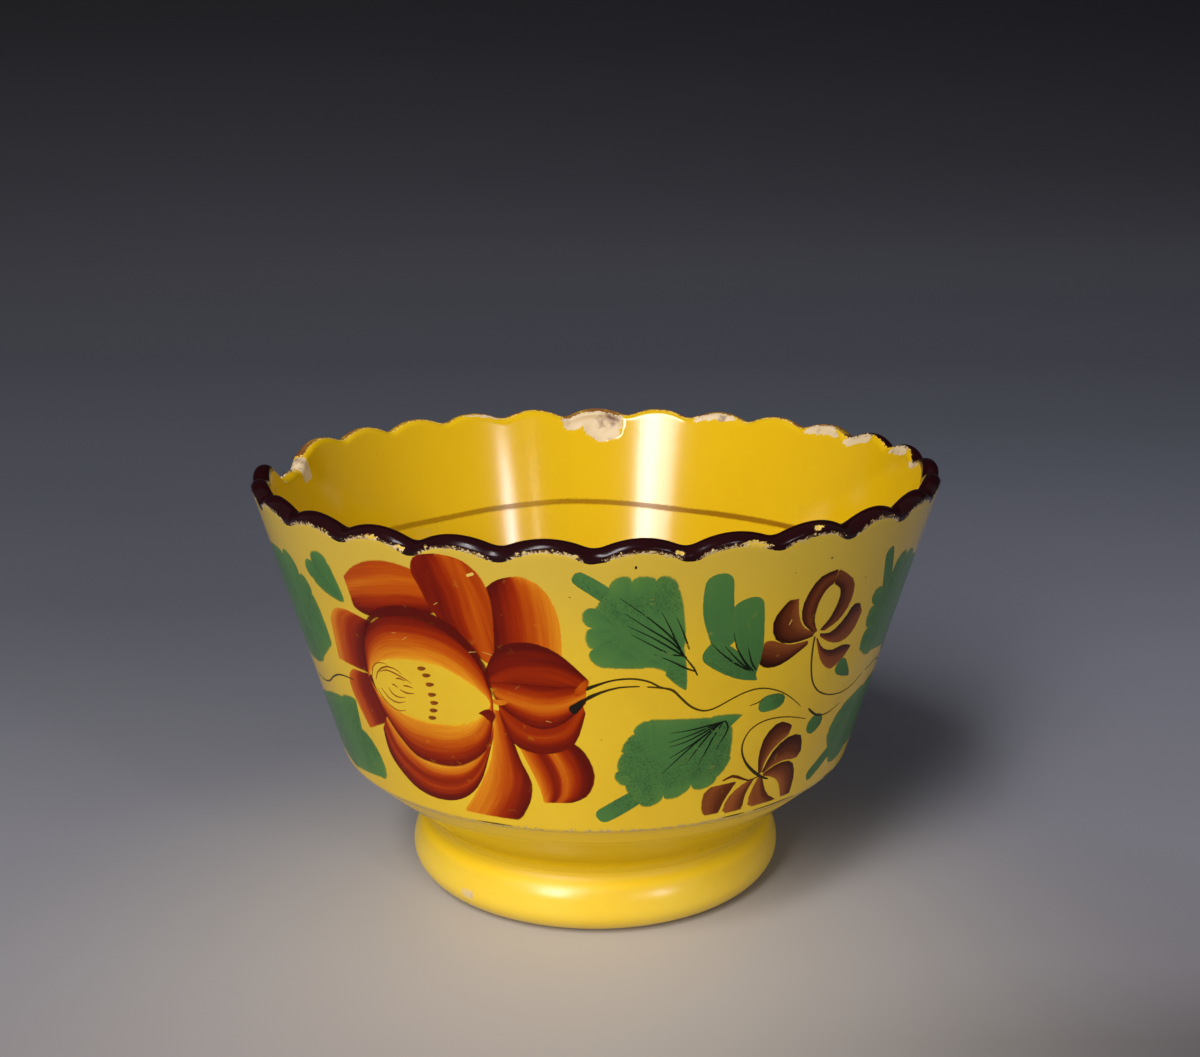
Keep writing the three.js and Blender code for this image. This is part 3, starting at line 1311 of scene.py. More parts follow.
@dataclass
class RimEnamel(Turned):
    """The film of enamel that caps the lip, with a hand-painted lower edge and a worn inside.

    Attributes:
        thickness: Thickness of the film.
        sunk: How far under the clay the film's underside lies.
        start: Where the film starts on the outside of the bead, in degrees above level.
        rows: Rows of faces across the film's face and across its underside.
        border: Place across the film where it ends on the front of the cup.
        border_loss: How much earlier it ends at the back.
        worn_left: Turns between which the inner half wears off on the left.
        worn_right: The same on the right.
        faded_left: Turns between which the film fades to a stain on the left.
        faded_right: The same on the right.
        slip: How far the painter's hand strays at the lower edge, in degrees round the bead.
        nicks: Turn, place across and half width in degrees of the small flakes at the front.
    """

    name: str = "lip_enamel"
    slot: str = "rim_enamel"
    node: str = "rim_enamel"
    steps: int = STEPS_PER_LOBE * CupForm.lobes
    marks: tuple[str, ...] = ("wear", "bare", "faded")
    thickness: float = 0.2
    sunk: float = 0.12
    start: float = -13.0
    rows: tuple[int, int] = (20, 8)
    border: float = 1.12
    border_loss: float = 0.42
    worn_left: Band = (-84.0, -94.0)
    worn_right: Band = (78.0, 100.0)
    faded_left: Band = (-94.0, -112.0)
    faded_right: Band = (112.0, 134.0)
    slip: float = 8.0
    nicks: tuple[tuple[float, float, float], ...] = (
        (-28.1, 0.17, 0.9),
        (11.8, 0.22, 0.8),
        (33.2, 0.3, 0.9),
        (-2.6, 0.12, 0.5),
        (-33.0, 0.14, 1.4),
        (23.0, 0.14, 2.8),
    )

    def angle(self, across: float) -> float:
        """The place on the bead, in radians above level, at a share across the film."""
        start = math.radians(self.start)
        return start + (math.pi - self.form.inner_lean - start) * across

    def wear(self, turn: float, across: float) -> float:
        """How much of the enamel is gone, from 0 to 1: most on the back and the inside of the lip.

        Args:
            turn: Turn in degrees.
            across: Place across the film, from 0 at its outer edge to 1 at its inner edge.

        Returns:
            The share that is gone.
        """
        form = self.form
        side = turn_gap(turn, 0)
        uneven = waver(turn * 0.24, 8.0, 0)
        lost = max(ease(side, *self.worn_left), ease(side, *self.worn_right))
        inside = ease(across + 0.1 * uneven, 0.42, 0.54)
        border = self.border - self.border_loss * lost
        gone = ease(across + 0.08 * uneven, border - 0.05, border + 0.04)
        under_crest = ease(form.from_crest(turn), 0.95, 0.6)
        fray = 0.74 * ease(across + 0.04 * uneven, 0.22, 0.02) * under_crest
        face = turn_gap(turn, form.lost_turn)
        cliff = ease(abs(face), 2.2, 1.2)
        slope = ease(turn_gap(turn, form.lost_start), -1.0, -3.5) * ease(face, 0.0, 2.0) * inside
        return min(1.0, max(gone, fray, self.nicked(turn, across), cliff, slope))

    def nicked(self, turn: float, across: float) -> float:
        """How far a small flake at the front has taken the enamel off at a place."""
        return max(
            ease(math.hypot(turn_gap(turn, at) / wide, (across - place) / 0.08), 1.1, 0.6)
            for at, place, wide in self.nicks
        )

    def faded(self, turn: float, across: float) -> float:
        """How far the enamel is rubbed down to a stain, which it is all round the back of the lip.

        Args:
            turn: Turn of the place in degrees.
            across: Place across the film.

        Returns:
            The share, from 0 where it is whole to 1.
        """
        side = turn_gap(turn, 0)
        behind = max(ease(side, *self.faded_left), ease(side, *self.faded_right))
        return behind * (0.55 + 0.3 * ease(across, 0.3, 0.5))

    def bare(self, turn: float, across: float, faded: float) -> float:
        """How much of what shows under the enamel is clay, and not glaze.

        Args:
            turn: Turn in degrees.
            across: Place across the film.
            faded: How far the enamel is faded there.

        Returns:
            The share of clay.
        """
        chipped = max(chip.bite(turn, chip.height) for chip in LIP_CHIPS)
        broken = ease(self.form.notch_drop(turn), 0.5, 1.5)
        pale = max(0.85 * ease(across, 0.26, 0.12), 0.6 * self.nicked(turn, across))
        return max(pale, 0.4 * faded * ease(across, 0.45, 0.7), chipped, broken)

    def section(self) -> Section:
        """Draws the film's section: over the bead and back under the clay.

        Returns:
            The section.
        """
        line = Section()
        face, under = self.rows
        outer, reach = self.form.lip_radius, self.form.lip_radius - self.sunk
        course = [(row / face, outer) for row in range(face + 1)]
        course += [(1 - row / under, reach) for row in range(1, under)]
        for across, radius in course:
            angle = self.angle(across)
            line.to(*(self.form.lip_centre + Vector((math.cos(angle), math.sin(angle))) * radius))
        line.close()
        return line

    def place(self, turn: float, radius: float, height: float) -> tuple[Marks, Vector]:
        """Thins, wears and strays the film, and lays it on the cut, chipped and warped lip.

        Args:
            turn: Turn of the place in degrees.
            radius: Its distance from the axis.
            height: Height of the place.

        Returns:
            The marks of the place by name, and its spot in metres.
        """
        form = self.form
        away = Vector((radius, height)) - form.lip_centre
        across = (math.atan2(away.y, away.x) - self.angle(0)) / (self.angle(1) - self.angle(0))
        wear, faded = self.wear(turn, across), self.faded(turn, across)
        gone = ease(wear, 0.55, 0.95)
        buried = away.length < form.lip_radius - self.sunk / 2
        body = ease(across, 0.02, 0.2) * ease(across, 1.0, 0.74) * (1 - 0.8 * faded)
        rise = -self.sunk if buried else (self.thickness + 0.03) * body * (1 - gone) - 0.03 * gone
        ragged = waver(turn * 0.35, 1.5, 0) + 0.5 * waver(turn * 1.6, 4.5, 0)
        slip = math.radians(self.slip * ragged * ease(across, 0.45, 0.0))
        away = Matrix.Rotation(slip, 2) @ (away.normalized() * (form.lip_radius + rise))
        spot = tuple(form.lip_centre + away)
        if across > 0.5:
            spot = form.chipped(*spot, turn)
        marks = {"wear": wear, "faded": faded, "bare": self.bare(turn, across, faded)}
        return marks, form.at(*form.settle(*spot, turn), turn)


@dataclass
class InnerLine(Turned):
    """The thin brown line painted round the inside of the wall.

    Attributes:
        height: Level of its middle where it runs true.
        half: Half of its width.
        proud: How far it stands out of the glaze.
        sunk: How far its underside lies under the glaze.
        soft: Width of its thin edges.
        rows: Rows of faces across its face.
        ride: How far the brush rode up at the back.
        ride_turns: Middle and half width of the place where it did, in degrees.
        per_degree: Way of the brush for each degree.
    """

    name: str = "inner_band"
    slot: str = "line_enamel"
    node: str = "inner_line"
    marks: tuple[str, ...] = PAINT_MARKS
    height: float = 46.0
    half: float = 0.74
    proud: float = 0.02
    sunk: float = 0.05
    soft: float = 0.5
    rows: int = 6
    ride: float = 1.0
    ride_turns: Spot = (187.0, 34.0)
    per_degree: float = 0.74

    def middle(self, turn: float) -> float:
        """Height of the line's middle, where the brush wandered a little.

        Args:
            turn: Turn of the place in degrees.

        Returns:
            The height.
        """
        middle, half = self.ride_turns
        ride = self.ride * ease(abs(turn_gap(turn, middle)), half, 0)
        return self.height + ride + 0.12 * waver(turn * 0.06, 2.0, 0)

    def section(self) -> Section:
        """Draws the line's section as a slab across the face of the wall.

        Returns:
            The section.
        """
        line = Section()
        shares = [2 * row / self.rows - 1 for row in range(self.rows + 1)]
        for side in (-1, 1):
            for share in shares:
                line.to(self.form.inner_radius(self.height) + side, self.height - self.half * share * side)
        line.close()
        return line

    def streak(self, mesh: BMesh) -> None:
        """Notes for each corner of a face how far along and across the brush's way it lies.

        Args:
            mesh: The mesh of the line.
        """
        pull = mesh.loops.layers.uv.new("pull")
        for face in mesh.faces:
            seam = turn_of(face.loops[0].vert.co)
            for loop in face.loops:
                around = seam + turn_gap(turn_of(loop.vert.co), seam)
                loop[pull].uv = (around * self.per_degree, loop.vert.co.z / MM - self.height)

    def place(self, turn: float, radius: float, height: float) -> tuple[Marks, Vector]:
        """Lays the slab's two faces just over and under the glaze, and notes how full the paint is.

        Args:
            turn: Turn of the place in degrees.
            radius: Its distance from the axis.
            height: Height of the place.

        Returns:
            The marks of the place by name, and its spot in metres.
        """
        form = self.form
        offset, side = height - self.height, turn_gap(turn, 180)
        marks = {
            "tone": 0.5 + 0.25 * waver(turn * 0.09, 5.0, 0),
            "cover": (self.half - abs(offset)) / self.soft,
            "load": 0.74 + 0.22 * ease(side, 20, -50) - 0.3 * ease(side, 30, 70),
        }
        stands = self.sunk if radius > form.inner_radius(height) else -self.proud
        height = self.middle(turn) + offset
        return marks, form.at(form.inner_radius(height) + stands, height, turn)


@dataclass(frozen=True, kw_only=True)
class Stroke:
    """What every stroke of the brush has.

    Attributes:
        layer: How many strokes lie under this one.
        load: How full the brush was, from 0 to 1.
    """

    layer: int = 0
    load: float = 1.0

    def spot(self, form: CupForm, along: float, across: float) -> Spot:
        """The spot on the wall at a share along and across the stroke."""
        raise NotImplementedError

    def cover(self, form: CupForm, along: float, across: float) -> float:
        """How far a place is from the stroke's edge, where 1 is the width of the thin edge."""
        raise NotImplementedError

    def tone(self, along: float, across: float) -> float:
        """How full the paint is at a share along and across the stroke."""
        raise NotImplementedError

    def length(self, form: CupForm) -> float:
        """Length of the stroke's middle."""
        middle = [self.spot(form, step / 12, 0.5) for step in range(13)]
        return sum(form.gap(a, b) for a, b in zip(middle, middle[1:]))

    def grain(self, form: CupForm) -> tuple[int, int]:
        """Number of faces along and across the stroke, each well under a millimetre."""
        width = form.gap(self.spot(form, 0.5, 0.0), self.spot(form, 0.5, 1.0))
        return max(8, round(self.length(form) / 0.7)), max(3, round(width / 0.6))

    def share(self, step: float) -> float:
        """The share along the stroke at an even step, closer together towards both ends."""
        return 0.5 - 0.5 * math.cos(math.pi * step)

    def pull(self, form: CupForm, along: float, across: float, length: float) -> Spot:
        """The place in the brush's own streaks.

        Args:
            form: The form of the cup.
            along: Share along the stroke.
            across: Share across the stroke.
            length: Length of the stroke's middle.

        Returns:
            The way along the pull, and the way across it.
        """
        width = form.gap(self.spot(form, along, 0.0), self.spot(form, along, 1.0))
        seed = 7.3 * self.layer + self.spot(form, 0.0, 0.0)[0]
        return along * length + seed * 3, (across - 0.5) * width + seed


@dataclass(frozen=True)
class Petal(Stroke):
    """A loaded brush drawn once, filling the wall between two edges.

    Attributes:
        light: Spots along the thin edge of the stroke.
        dark: Spots along the full edge, from the same end.
        tones: Tone at the thin edge, in the middle and at the full edge.
        closed: True where both edges run all the way round.
        edges: Width of the soft part of the thin edge and of the full edge.
    """

    light: tuple[Spot, ...]
    dark: tuple[Spot, ...]
    tones: tuple[float, ...] = (0.15, 0.5, 0.95)
    closed: bool = False
    edges: Spot = (0.4, 0.22)

    def spot(self, form: CupForm, along: float, across: float) -> Spot:
        """The spot on the wall at a place in the stroke.

        Args:
            form: The form of the cup.
            along: Share along the stroke.
            across: Share across the stroke.

        Returns:
            Turn in degrees and height.
        """
        light = blend(self.light, along)
        dark = blend(self.dark, along)
        return light[0] + (dark[0] - light[0]) * across, light[1] + (dark[1] - light[1]) * across

    def cover(self, form: CupForm, along: float, across: float) -> float:
        """How far a place is from the stroke's edge, where 1 is the width of the thin edge.

        Args:
            form: The form of the cup.
            along: Share along the stroke.
            across: Share across the stroke.

        Returns:
            The distance, below 0 outside.
        """
        width = form.gap(self.spot(form, along, 0.0), self.spot(form, along, 1.0))
        soft = min(1.0, 0.25 + width / 8)
        thin, full = self.edges
        inset = min(across * width / thin, (1 - across) * width / full) / soft
        if self.closed:
            return inset
        here = self.spot(form, along, across)
        ends = min(form.gap(here, self.spot(form, end, across)) for end in (0.0, 1.0))
        return min(inset, ends / (0.44 * soft))

    def tone(self, along: float, across: float) -> float:
        """How full the paint is at a share along and across the stroke."""
        return blend([(tone,) for tone in self.tones], across)[0]

    def share(self, step: float) -> float:
        """The share along the stroke at an even step, closer together towards both ends."""
        return step if self.closed else super().share(step)


@dataclass(frozen=True)
class Pull(Stroke):
    """A stroke drawn along a line, round at its ends.

    Attributes:
        line: Spots along the middle of the stroke.
        half: Half widths at even steps along the stroke.
        tones: Tones at even steps along the stroke.
        edge: Width of the soft edge.
    """

    line: tuple[Spot, ...]
    half: tuple[float, ...]
    tones: tuple[float, ...] = (0.3, 0.5, 0.6)
    edge: float = 0.18

    def blunt(self, form: CupForm, along: float) -> float:
        """The share of the full width that the stroke has near its round ends.

        Args:
            form: The form of the cup.
            along: Share along the stroke.

        Returns:
            The share, from 0 at the very end to 1.
        """
        rough = sum(form.gap(a, b) for a, b in zip(self.line, self.line[1:]))
        cap = min(0.5, max(self.half) / max(rough, 0.01))
        near = min(1.0, min(along, 1 - along) / cap)
        return math.sqrt(max(0.0, 1 - (1 - near) ** 2))

    def spot(self, form: CupForm, along: float, across: float) -> Spot:
        """The spot on the wall at a place in the stroke.

        Args:
            form: The form of the cup.
            along: Share along the stroke.
            across: Share across the stroke.

        Returns:
            Turn in degrees and height.
        """
        here = Vector(blend(self.line, along))
        step = Vector(blend(self.line, along + 0.01)) - Vector(blend(self.line, along - 0.01))
        per_degree = math.radians(form.outer_radius(here.y))
        way = Vector((step.x * per_degree, step.y)).normalized()
        half = blend([(value,) for value in self.half], along)[0]
        offset = (2 * across - 1) * half * self.blunt(form, along)
        return here.x - way.y * offset / per_degree, here.y + way.x * offset

    def cover(self, form: CupForm, along: float, across: float) -> float:
        """How far a place is from the stroke's edge, where 1 is the width of the thin edge.

        Args:
            form: The form of the cup.
            along: Share along the stroke.
            across: Share across the stroke.

        Returns:
            The distance, below 0 outside.
        """
        width = form.gap(self.spot(form, along, 0.0), self.spot(form, along, 1.0))
        here = self.spot(form, along, across)
        ends = min(form.gap(here, self.spot(form, end, 0.5)) for end in (0.0, 1.0))
        return min(min(across, 1 - across) * width, ends) / self.edge

    def tone(self, along: float, across: float) -> float:
        """How full the paint is at a share along and across the stroke."""
        return blend([(tone,) for tone in self.tones], along)[0]

    def share(self, step: float) -> float:
        """The share along the stroke at an even step: even on a long line, closer at round ends."""
        return step if len(self.line) > 5 else super().share(step)


@dataclass(frozen=True)
class Wash(Stroke):
    """A leaf filled in with the brush, with a border of lobes round a middle line.

    Attributes:
        border: Spots round the leaf: by turns the notch between two lobes and the tip of a lobe.
        spine: The two ends of the middle line.
        root: Where the brush was drawn to.
        base_tone: Tone of most of the leaf.
        edge: Width of the soft edge.
    """

    border: tuple[Spot, ...]
    spine: tuple[Spot, Spot]
    root: Spot
    base_tone: float = 0.5
    edge: float = 0.5

    def rim(self, along: float) -> Vector:
        """The spot on the border, where each lobe is one smooth arch.

        Args:
            along: Share of the way round it.

        Returns:
            Turn in degrees and height.
        """
        lobes = len(self.border) // 2
        place = (along % 1) * lobes
        lobe = min(int(place), lobes - 1)
        t = place - lobe
        notch, tip, after = (Vector(self.border[(2 * lobe + step) % (2 * lobes)]) for step in range(3))
        swell = (tip - (notch + after) / 2) * 4 / 3
        s = 1 - t
        return (
            notch * s**3 + (notch + swell) * 3 * s * s * t + (after + swell) * 3 * s * t * t + after * t**3
        )

    def nearest(self, form: CupForm, rim: Vector) -> Vector:
        """The spot on the middle line that is nearest to a spot on the border.

        Args:
            form: The form of the cup.
            rim: The spot on the border.

        Returns:
            Turn in degrees and height.
        """
        scale = Vector((math.radians(form.outer_radius(rim.y)), 1.0))
        start, end = (Vector(spot) for spot in self.spine)
        run, away = (end - start) * scale, (rim - start) * scale
        return start + (end - start) * min(1.0, max(0.0, away.dot(run) / run.length_squared))

    def spot(self, form: CupForm, along: float, across: float) -> Spot:
        """The spot on the wall at a share round the leaf and out from its middle line."""
        rim = self.rim(along)
        return tuple(self.nearest(form, rim).lerp(rim, across))

    def cover(self, form: CupForm, along: float, across: float) -> float:
        """How far a place is from the leaf's border, where 1 is the width of the thin edge."""
        rim = self.rim(along)
        return form.gap(tuple(rim), tuple(self.nearest(form, rim))) * (1 - across) / self.edge

    def tone(self, along: float, across: float) -> float:
        """How full the paint is: a little thinner at the border, and uneven from dab to dab.

        Args:
            along: Share of the way round the leaf.
            across: Share of the way out from its middle line.

        Returns:
            The tone.
        """
        lobes = len(self.border) // 2
        dab = 0.07 * math.sin(math.tau * along * lobes) * across
        return self.base_tone - 0.2 * ease(across, 0.55, 1.0) + dab

    def grain(self, form: CupForm) -> tuple[int, int]:
        """Number of faces round the leaf and out from its middle."""
        return 5 * len(self.border), 10

    def share(self, step: float) -> float:
        """The share round the leaf at an even step."""
        return step

    def pull(self, form: CupForm, along: float, across: float, length: float) -> Spot:
        """The place in the brush's own streaks, which run to the root.

        Args:
            form: The form of the cup.
            along: Share of the way round the leaf.
            across: Share of the way out from its middle line.
            length: Length of the leaf's middle line.

        Returns:
            The way from the root, and the way round it.
        """
        here = Vector(self.spot(form, along, across))
        away = (here - Vector(self.root)) * Vector((math.radians(form.outer_radius(here.y)), 1.0))
        return away.length, math.atan2(away.y, away.x) * 9.0 + self.root[0]


@dataclass
class Painting:
    """Strokes of one colour on the wall, joined into one piece.

    Attributes:
        form: The form of the cup.
        name: Name of the piece.
        slot: The record's material slot; not used.
        strokes: The strokes, in the order that they were painted.
        proud: How far the first layer stands out of the glaze.
        layer_rise: What each further layer adds.
        body: Thickness of the paint's film, most of it sunk in the glaze.
        repeats: Turns at which the whole painting is repeated.
    """

    form: CupForm
    name: str
    slot: str
    strokes: Sequence[Stroke]
    proud: float = 0.012
    layer_rise: float = 0.005
    body: float = 0.09
    repeats: tuple[float, ...] = (0.0, 180.0)

    def lay(self, mesh: BMesh, stroke: Stroke, offset: float) -> None:
        """Adds one stroke to a mesh.

        Args:
            mesh: The mesh that takes the stroke.
            stroke: The stroke.
            offset: How far round the cup it is moved, in degrees.
        """
        form = self.form
        layers = mesh.verts.layers.float
        pull = mesh.loops.layers.uv["pull"]
        along_faces, across_faces = stroke.grain(form)
        made = bmesh.ops.create_grid(mesh, x_segments=along_faces, y_segments=across_faces, size=0.5)
        length = stroke.length(form)
        rise = self.proud + self.layer_rise * stroke.layer
        streak: dict[BMVert, Spot] = {}
        for vert in made["verts"]:
            along, across = stroke.share(vert.co.x + 0.5), vert.co.y + 0.5
            turn, height = stroke.spot(form, along, across)
            streak[vert] = stroke.pull(form, along, across, length)
            vert[layers["tone"]] = stroke.tone(along, across)
            vert[layers["cover"]] = stroke.cover(form, along, across)
            vert[layers["load"]] = stroke.load
            vert.co = form.on_wall((turn + offset, height), rise)
        for face in {face for vert in made["verts"] for face in vert.link_faces}:
            for loop in face.loops:
                loop[pull].uv = streak[loop.vert]

    def build(self, material: Material) -> Object:
        """Paints every stroke and hangs the piece on the cup.

        Args:
            material: The material of the piece.

        Returns:
            The piece.
        """
        mesh = bmesh.new()
        for mark in PAINT_MARKS:
            mesh.verts.layers.float.new(mark)
        mesh.loops.layers.uv.new("pull")
        for offset in self.repeats:
            for stroke in self.strokes:
                self.lay(mesh, stroke, offset)
        bmesh.ops.remove_doubles(mesh, verts=mesh.verts, dist=SAME_PAINT)
        bmesh.ops.dissolve_degenerate(mesh, edges=mesh.edges, dist=SAME_PAINT)
        for face in mesh.faces:
            face.normal_update()
        inward = [face for face in mesh.faces if face.normal.xy.dot(face.calc_center_median().xy) < 0]
        bmesh.ops.reverse_faces(mesh, faces=inward)
        bmesh.ops.solidify(mesh, geom=mesh.faces[:], thickness=self.body * MM)
        return finish_piece(self.name, mesh, material)


ROUND_PETAL = Petal(
    (
        (-42.0, 40.4), (-39.6, 42.4), (-35.2, 43.9), (-30.0, 44.5), (-25.0, 44.2), (-20.6, 42.6),
        (-17.4, 40.2), (-20.6, 37.6), (-25.0, 36.4), (-30.5, 36.1), (-36.0, 36.6), (-40.2, 38.2),
        (-42.0, 40.4),
    ),
    (
        (-42.3, 40.6), (-40.4, 46.6), (-36.2, 50.2), (-30.0, 51.6), (-23.6, 50.8), (-18.6, 47.4),
        (-16.6, 40.8), (-18.6, 33.6), (-23.4, 30.2), (-29.0, 29.1), (-35.4, 29.9), (-40.2, 34.6),
        (-42.3, 40.6),
    ),
    (0.06, 0.3, 0.6, 0.98),
    closed=True,
    edges=(0.8, 0.12),
    layer=7,
)

CROWN_ARC = Pull(
    (
        (-40.6, 46.2), (-38.2, 49.3), (-34.2, 51.3), (-29.0, 52.0), (-24.0, 51.2), (-20.0, 48.6),
        (-17.5, 45.4), (-16.9, 42.6), (-15.8, 40.7),
    ),
    (0.3, 0.7, 1.0, 1.0, 0.8, 0.6, 0.4),
    (1.06, 1.06, 1.06),
    edge=0.5,
    layer=9,
)

FLOWER = (
    Petal(
        ((-41.4, 55.2), (-38.5, 57.1), (-35.0, 58.4), (-31.0, 58.9), (-26.0, 58.2)),
        ((-41.0, 50.9), (-38.5, 50.1), (-34.5, 50.2), (-29.0, 51.3), (-24.0, 52.3)),
        (0.5, 0.42, 1.0),
    ),
    Petal(
        ((-4.7, 47.0), (-4.6, 51.0), (-5.4, 54.6), (-7.2, 57.2), (-9.8, 58.4), (-11.4, 58.4)),
        ((-17.0, 47.2), (-17.0, 51.0), (-16.8, 54.0), (-15.8, 56.4), (-13.8, 57.8), (-11.4, 58.4)),
        (0.2, 0.46, 0.8, 1.12),
        layer=1,
    ),
    Petal(
        ((-15.4, 45.0), (-14.8, 50.4), (-14.7, 55.0), (-15.9, 58.2), (-18.6, 60.2), (-22.4, 60.7)),
        ((-20.0, 48.0), (-24.6, 52.4), (-26.2, 55.6), (-27.2, 58.0), (-26.0, 60.0), (-22.4, 60.7)),
        (0.55, 0.46, 0.62, 0.86, 0.8),
        layer=2,
    ),
    Petal(
        ((-50.8, 41.3), (-49.8, 45.0), (-49.0, 47.8), (-46.6, 49.8), (-43.0, 50.2)),
        ((-41.4, 40.8), (-41.4, 43.0), (-40.4, 45.4), (-39.2, 47.4), (-37.0, 49.4)),
        (0.22, 0.62, 1.0),
        layer=1,
    ),
    Petal(
        ((-47.2, 31.3), (-48.6, 34.2), (-49.6, 37.4), (-48.6, 39.6), (-46.6, 40.9)),
        ((-40.0, 33.8), (-39.8, 35.6), (-40.4, 37.6), (-41.0, 39.4), (-41.0, 41.2)),
        (0.34, 0.72, 1.0),
    ),
    Petal(
        (
            (-40.0, 35.4), (-37.0, 32.0), (-32.5, 30.2), (-27.5, 30.1), (-22.8, 31.4), (-19.2, 34.4),
            (-16.8, 37.8),
        ),
        (
            (-42.6, 32.6), (-42.4, 28.0), (-37.6, 24.3), (-31.5, 23.4), (-25.6, 24.6), (-21.0, 28.2),
            (-17.0, 36.2),
        ),
        (0.04, 0.2, 0.42, 0.72, 0.56, 0.86, 1.02),
        layer=2,
    ),
    Petal(
        ((-16.9, 39.4), (-18.3, 33.0), (-20.6, 29.0), (-23.4, 25.6), (-26.8, 22.4)),
        ((-15.2, 39.4), (-13.0, 32.4), (-11.2, 28.6), (-11.9, 25.4), (-14.3, 22.2)),
        (0.12, 0.3, 0.46, 0.74, 1.02),
        layer=3,
    ),
    Petal(
        ((-14.0, 35.4), (-12.1, 31.6), (-10.8, 29.0), (-10.0, 27.0), (-9.6, 25.4)),
        ((-4.0, 35.6), (-1.2, 33.4), (0.3, 30.0), (-1.0, 27.0), (-4.2, 25.7)),
        (0.2, 0.4, 0.86, 0.34, 0.62, 0.9, 1.0),
        layer=1,
    ),
    Petal(
        ((-16.0, 40.8), (-12.8, 38.8), (-9.2, 37.8), (-5.6, 38.4), (-1.8, 41.0)),
        ((-15.8, 38.4), (-13.8, 34.3), (-8.8, 33.1), (-3.4, 34.7), (-1.3, 39.6)),
        (0.74, 0.6, 0.98),
        layer=4,
    ),
    Petal(
        ((-17.2, 42.4), (-12.0, 42.5), (-8.0, 42.4), (-4.5, 42.6), (-0.8, 43.0)),
        ((-17.6, 44.6), (-14.8, 48.5), (-10.2, 49.6), (-5.6, 48.3), (-0.8, 44.4)),
        (0.92, 0.66, 0.88, 1.02),
        layer=5,
    ),
    Petal(
        ((-17.0, 43.6), (-12.0, 43.7), (-8.5, 43.6), (-5.0, 43.5), (-1.0, 43.7)),
        ((-16.2, 40.4), (-12.8, 38.1), (-9.0, 36.9), (-5.0, 37.9), (-1.2, 41.0)),
        (0.86, 0.6, 0.34, 0.62, 1.02),
        layer=6,
    ),
    ROUND_PETAL,
    CROWN_ARC,
    Petal(
        ((-19.8, 38.5), (-18.6, 38.0), (-17.4, 36.9)),
        ((-19.2, 38.8), (-17.6, 39.4), (-16.2, 38.6)),
        (0.8, 0.9, 0.8),
        layer=9,
    ),
    Pull(((-16.8, 40.7), (-15.4, 40.5), (-13.8, 40.9)), (0.4, 0.5, 0.3), (0.3, 0.25, 0.4), layer=10),
    Pull(((-3.2, 42.0), (-2.0, 43.2), (-0.8, 44.6)), (0.5, 0.8, 0.5), (0.55, 0.4, 0.5), edge=0.5, layer=10),
)

STAMENS = (
    (-28.9, 43.9), (-28.2, 43.0), (-27.9, 41.7), (-27.9, 40.2), (-27.8, 39.0), (-28.3, 37.8), (-28.9, 36.6),
)
EYE_RINGS = (
    ((-41.3, 40.6), (-40.2, 42.4), (-38.4, 43.3), (-36.4, 43.3)),
    ((-40.4, 40.4), (-39.0, 42.0), (-36.6, 43.0), (-34.4, 42.8), (-33.6, 42.2)),
    ((-38.8, 41.8), (-37.2, 42.4), (-35.4, 42.3), (-33.0, 41.7), (-31.8, 41.2)),
    ((-35.3, 41.4), (-34.4, 41.6), (-33.0, 41.4)),
    ((-34.0, 40.6), (-33.0, 40.7), (-31.6, 40.6)),
    ((-36.6, 40.3), (-36.0, 40.4), (-35.2, 40.0)),
    ((-35.0, 39.9), (-33.6, 39.6), (-31.6, 39.8)),
    ((-37.6, 39.8), (-37.0, 38.9), (-35.6, 38.6), (-33.9, 38.9)),
    ((-39.6, 39.4), (-38.2, 38.0), (-36.2, 37.7), (-34.2, 38.2)),
    ((-40.8, 39.2), (-39.4, 37.4), (-37.0, 36.4), (-34.6, 36.8)),
)
MARKINGS = (
    *(
        Pull(
            ((turn - 1.0, height - 0.16), (turn + 0.8, height + 0.16)),
            (0.3, 0.36, 0.16),
            (0.6, 0.9, 1.0),
            edge=0.1,
        )
        for turn, height in STAMENS
    ),
    *(Pull(line, (0.12, 0.19, 0.09), (0.45, 0.75, 0.5), edge=0.1) for line in EYE_RINGS),
)


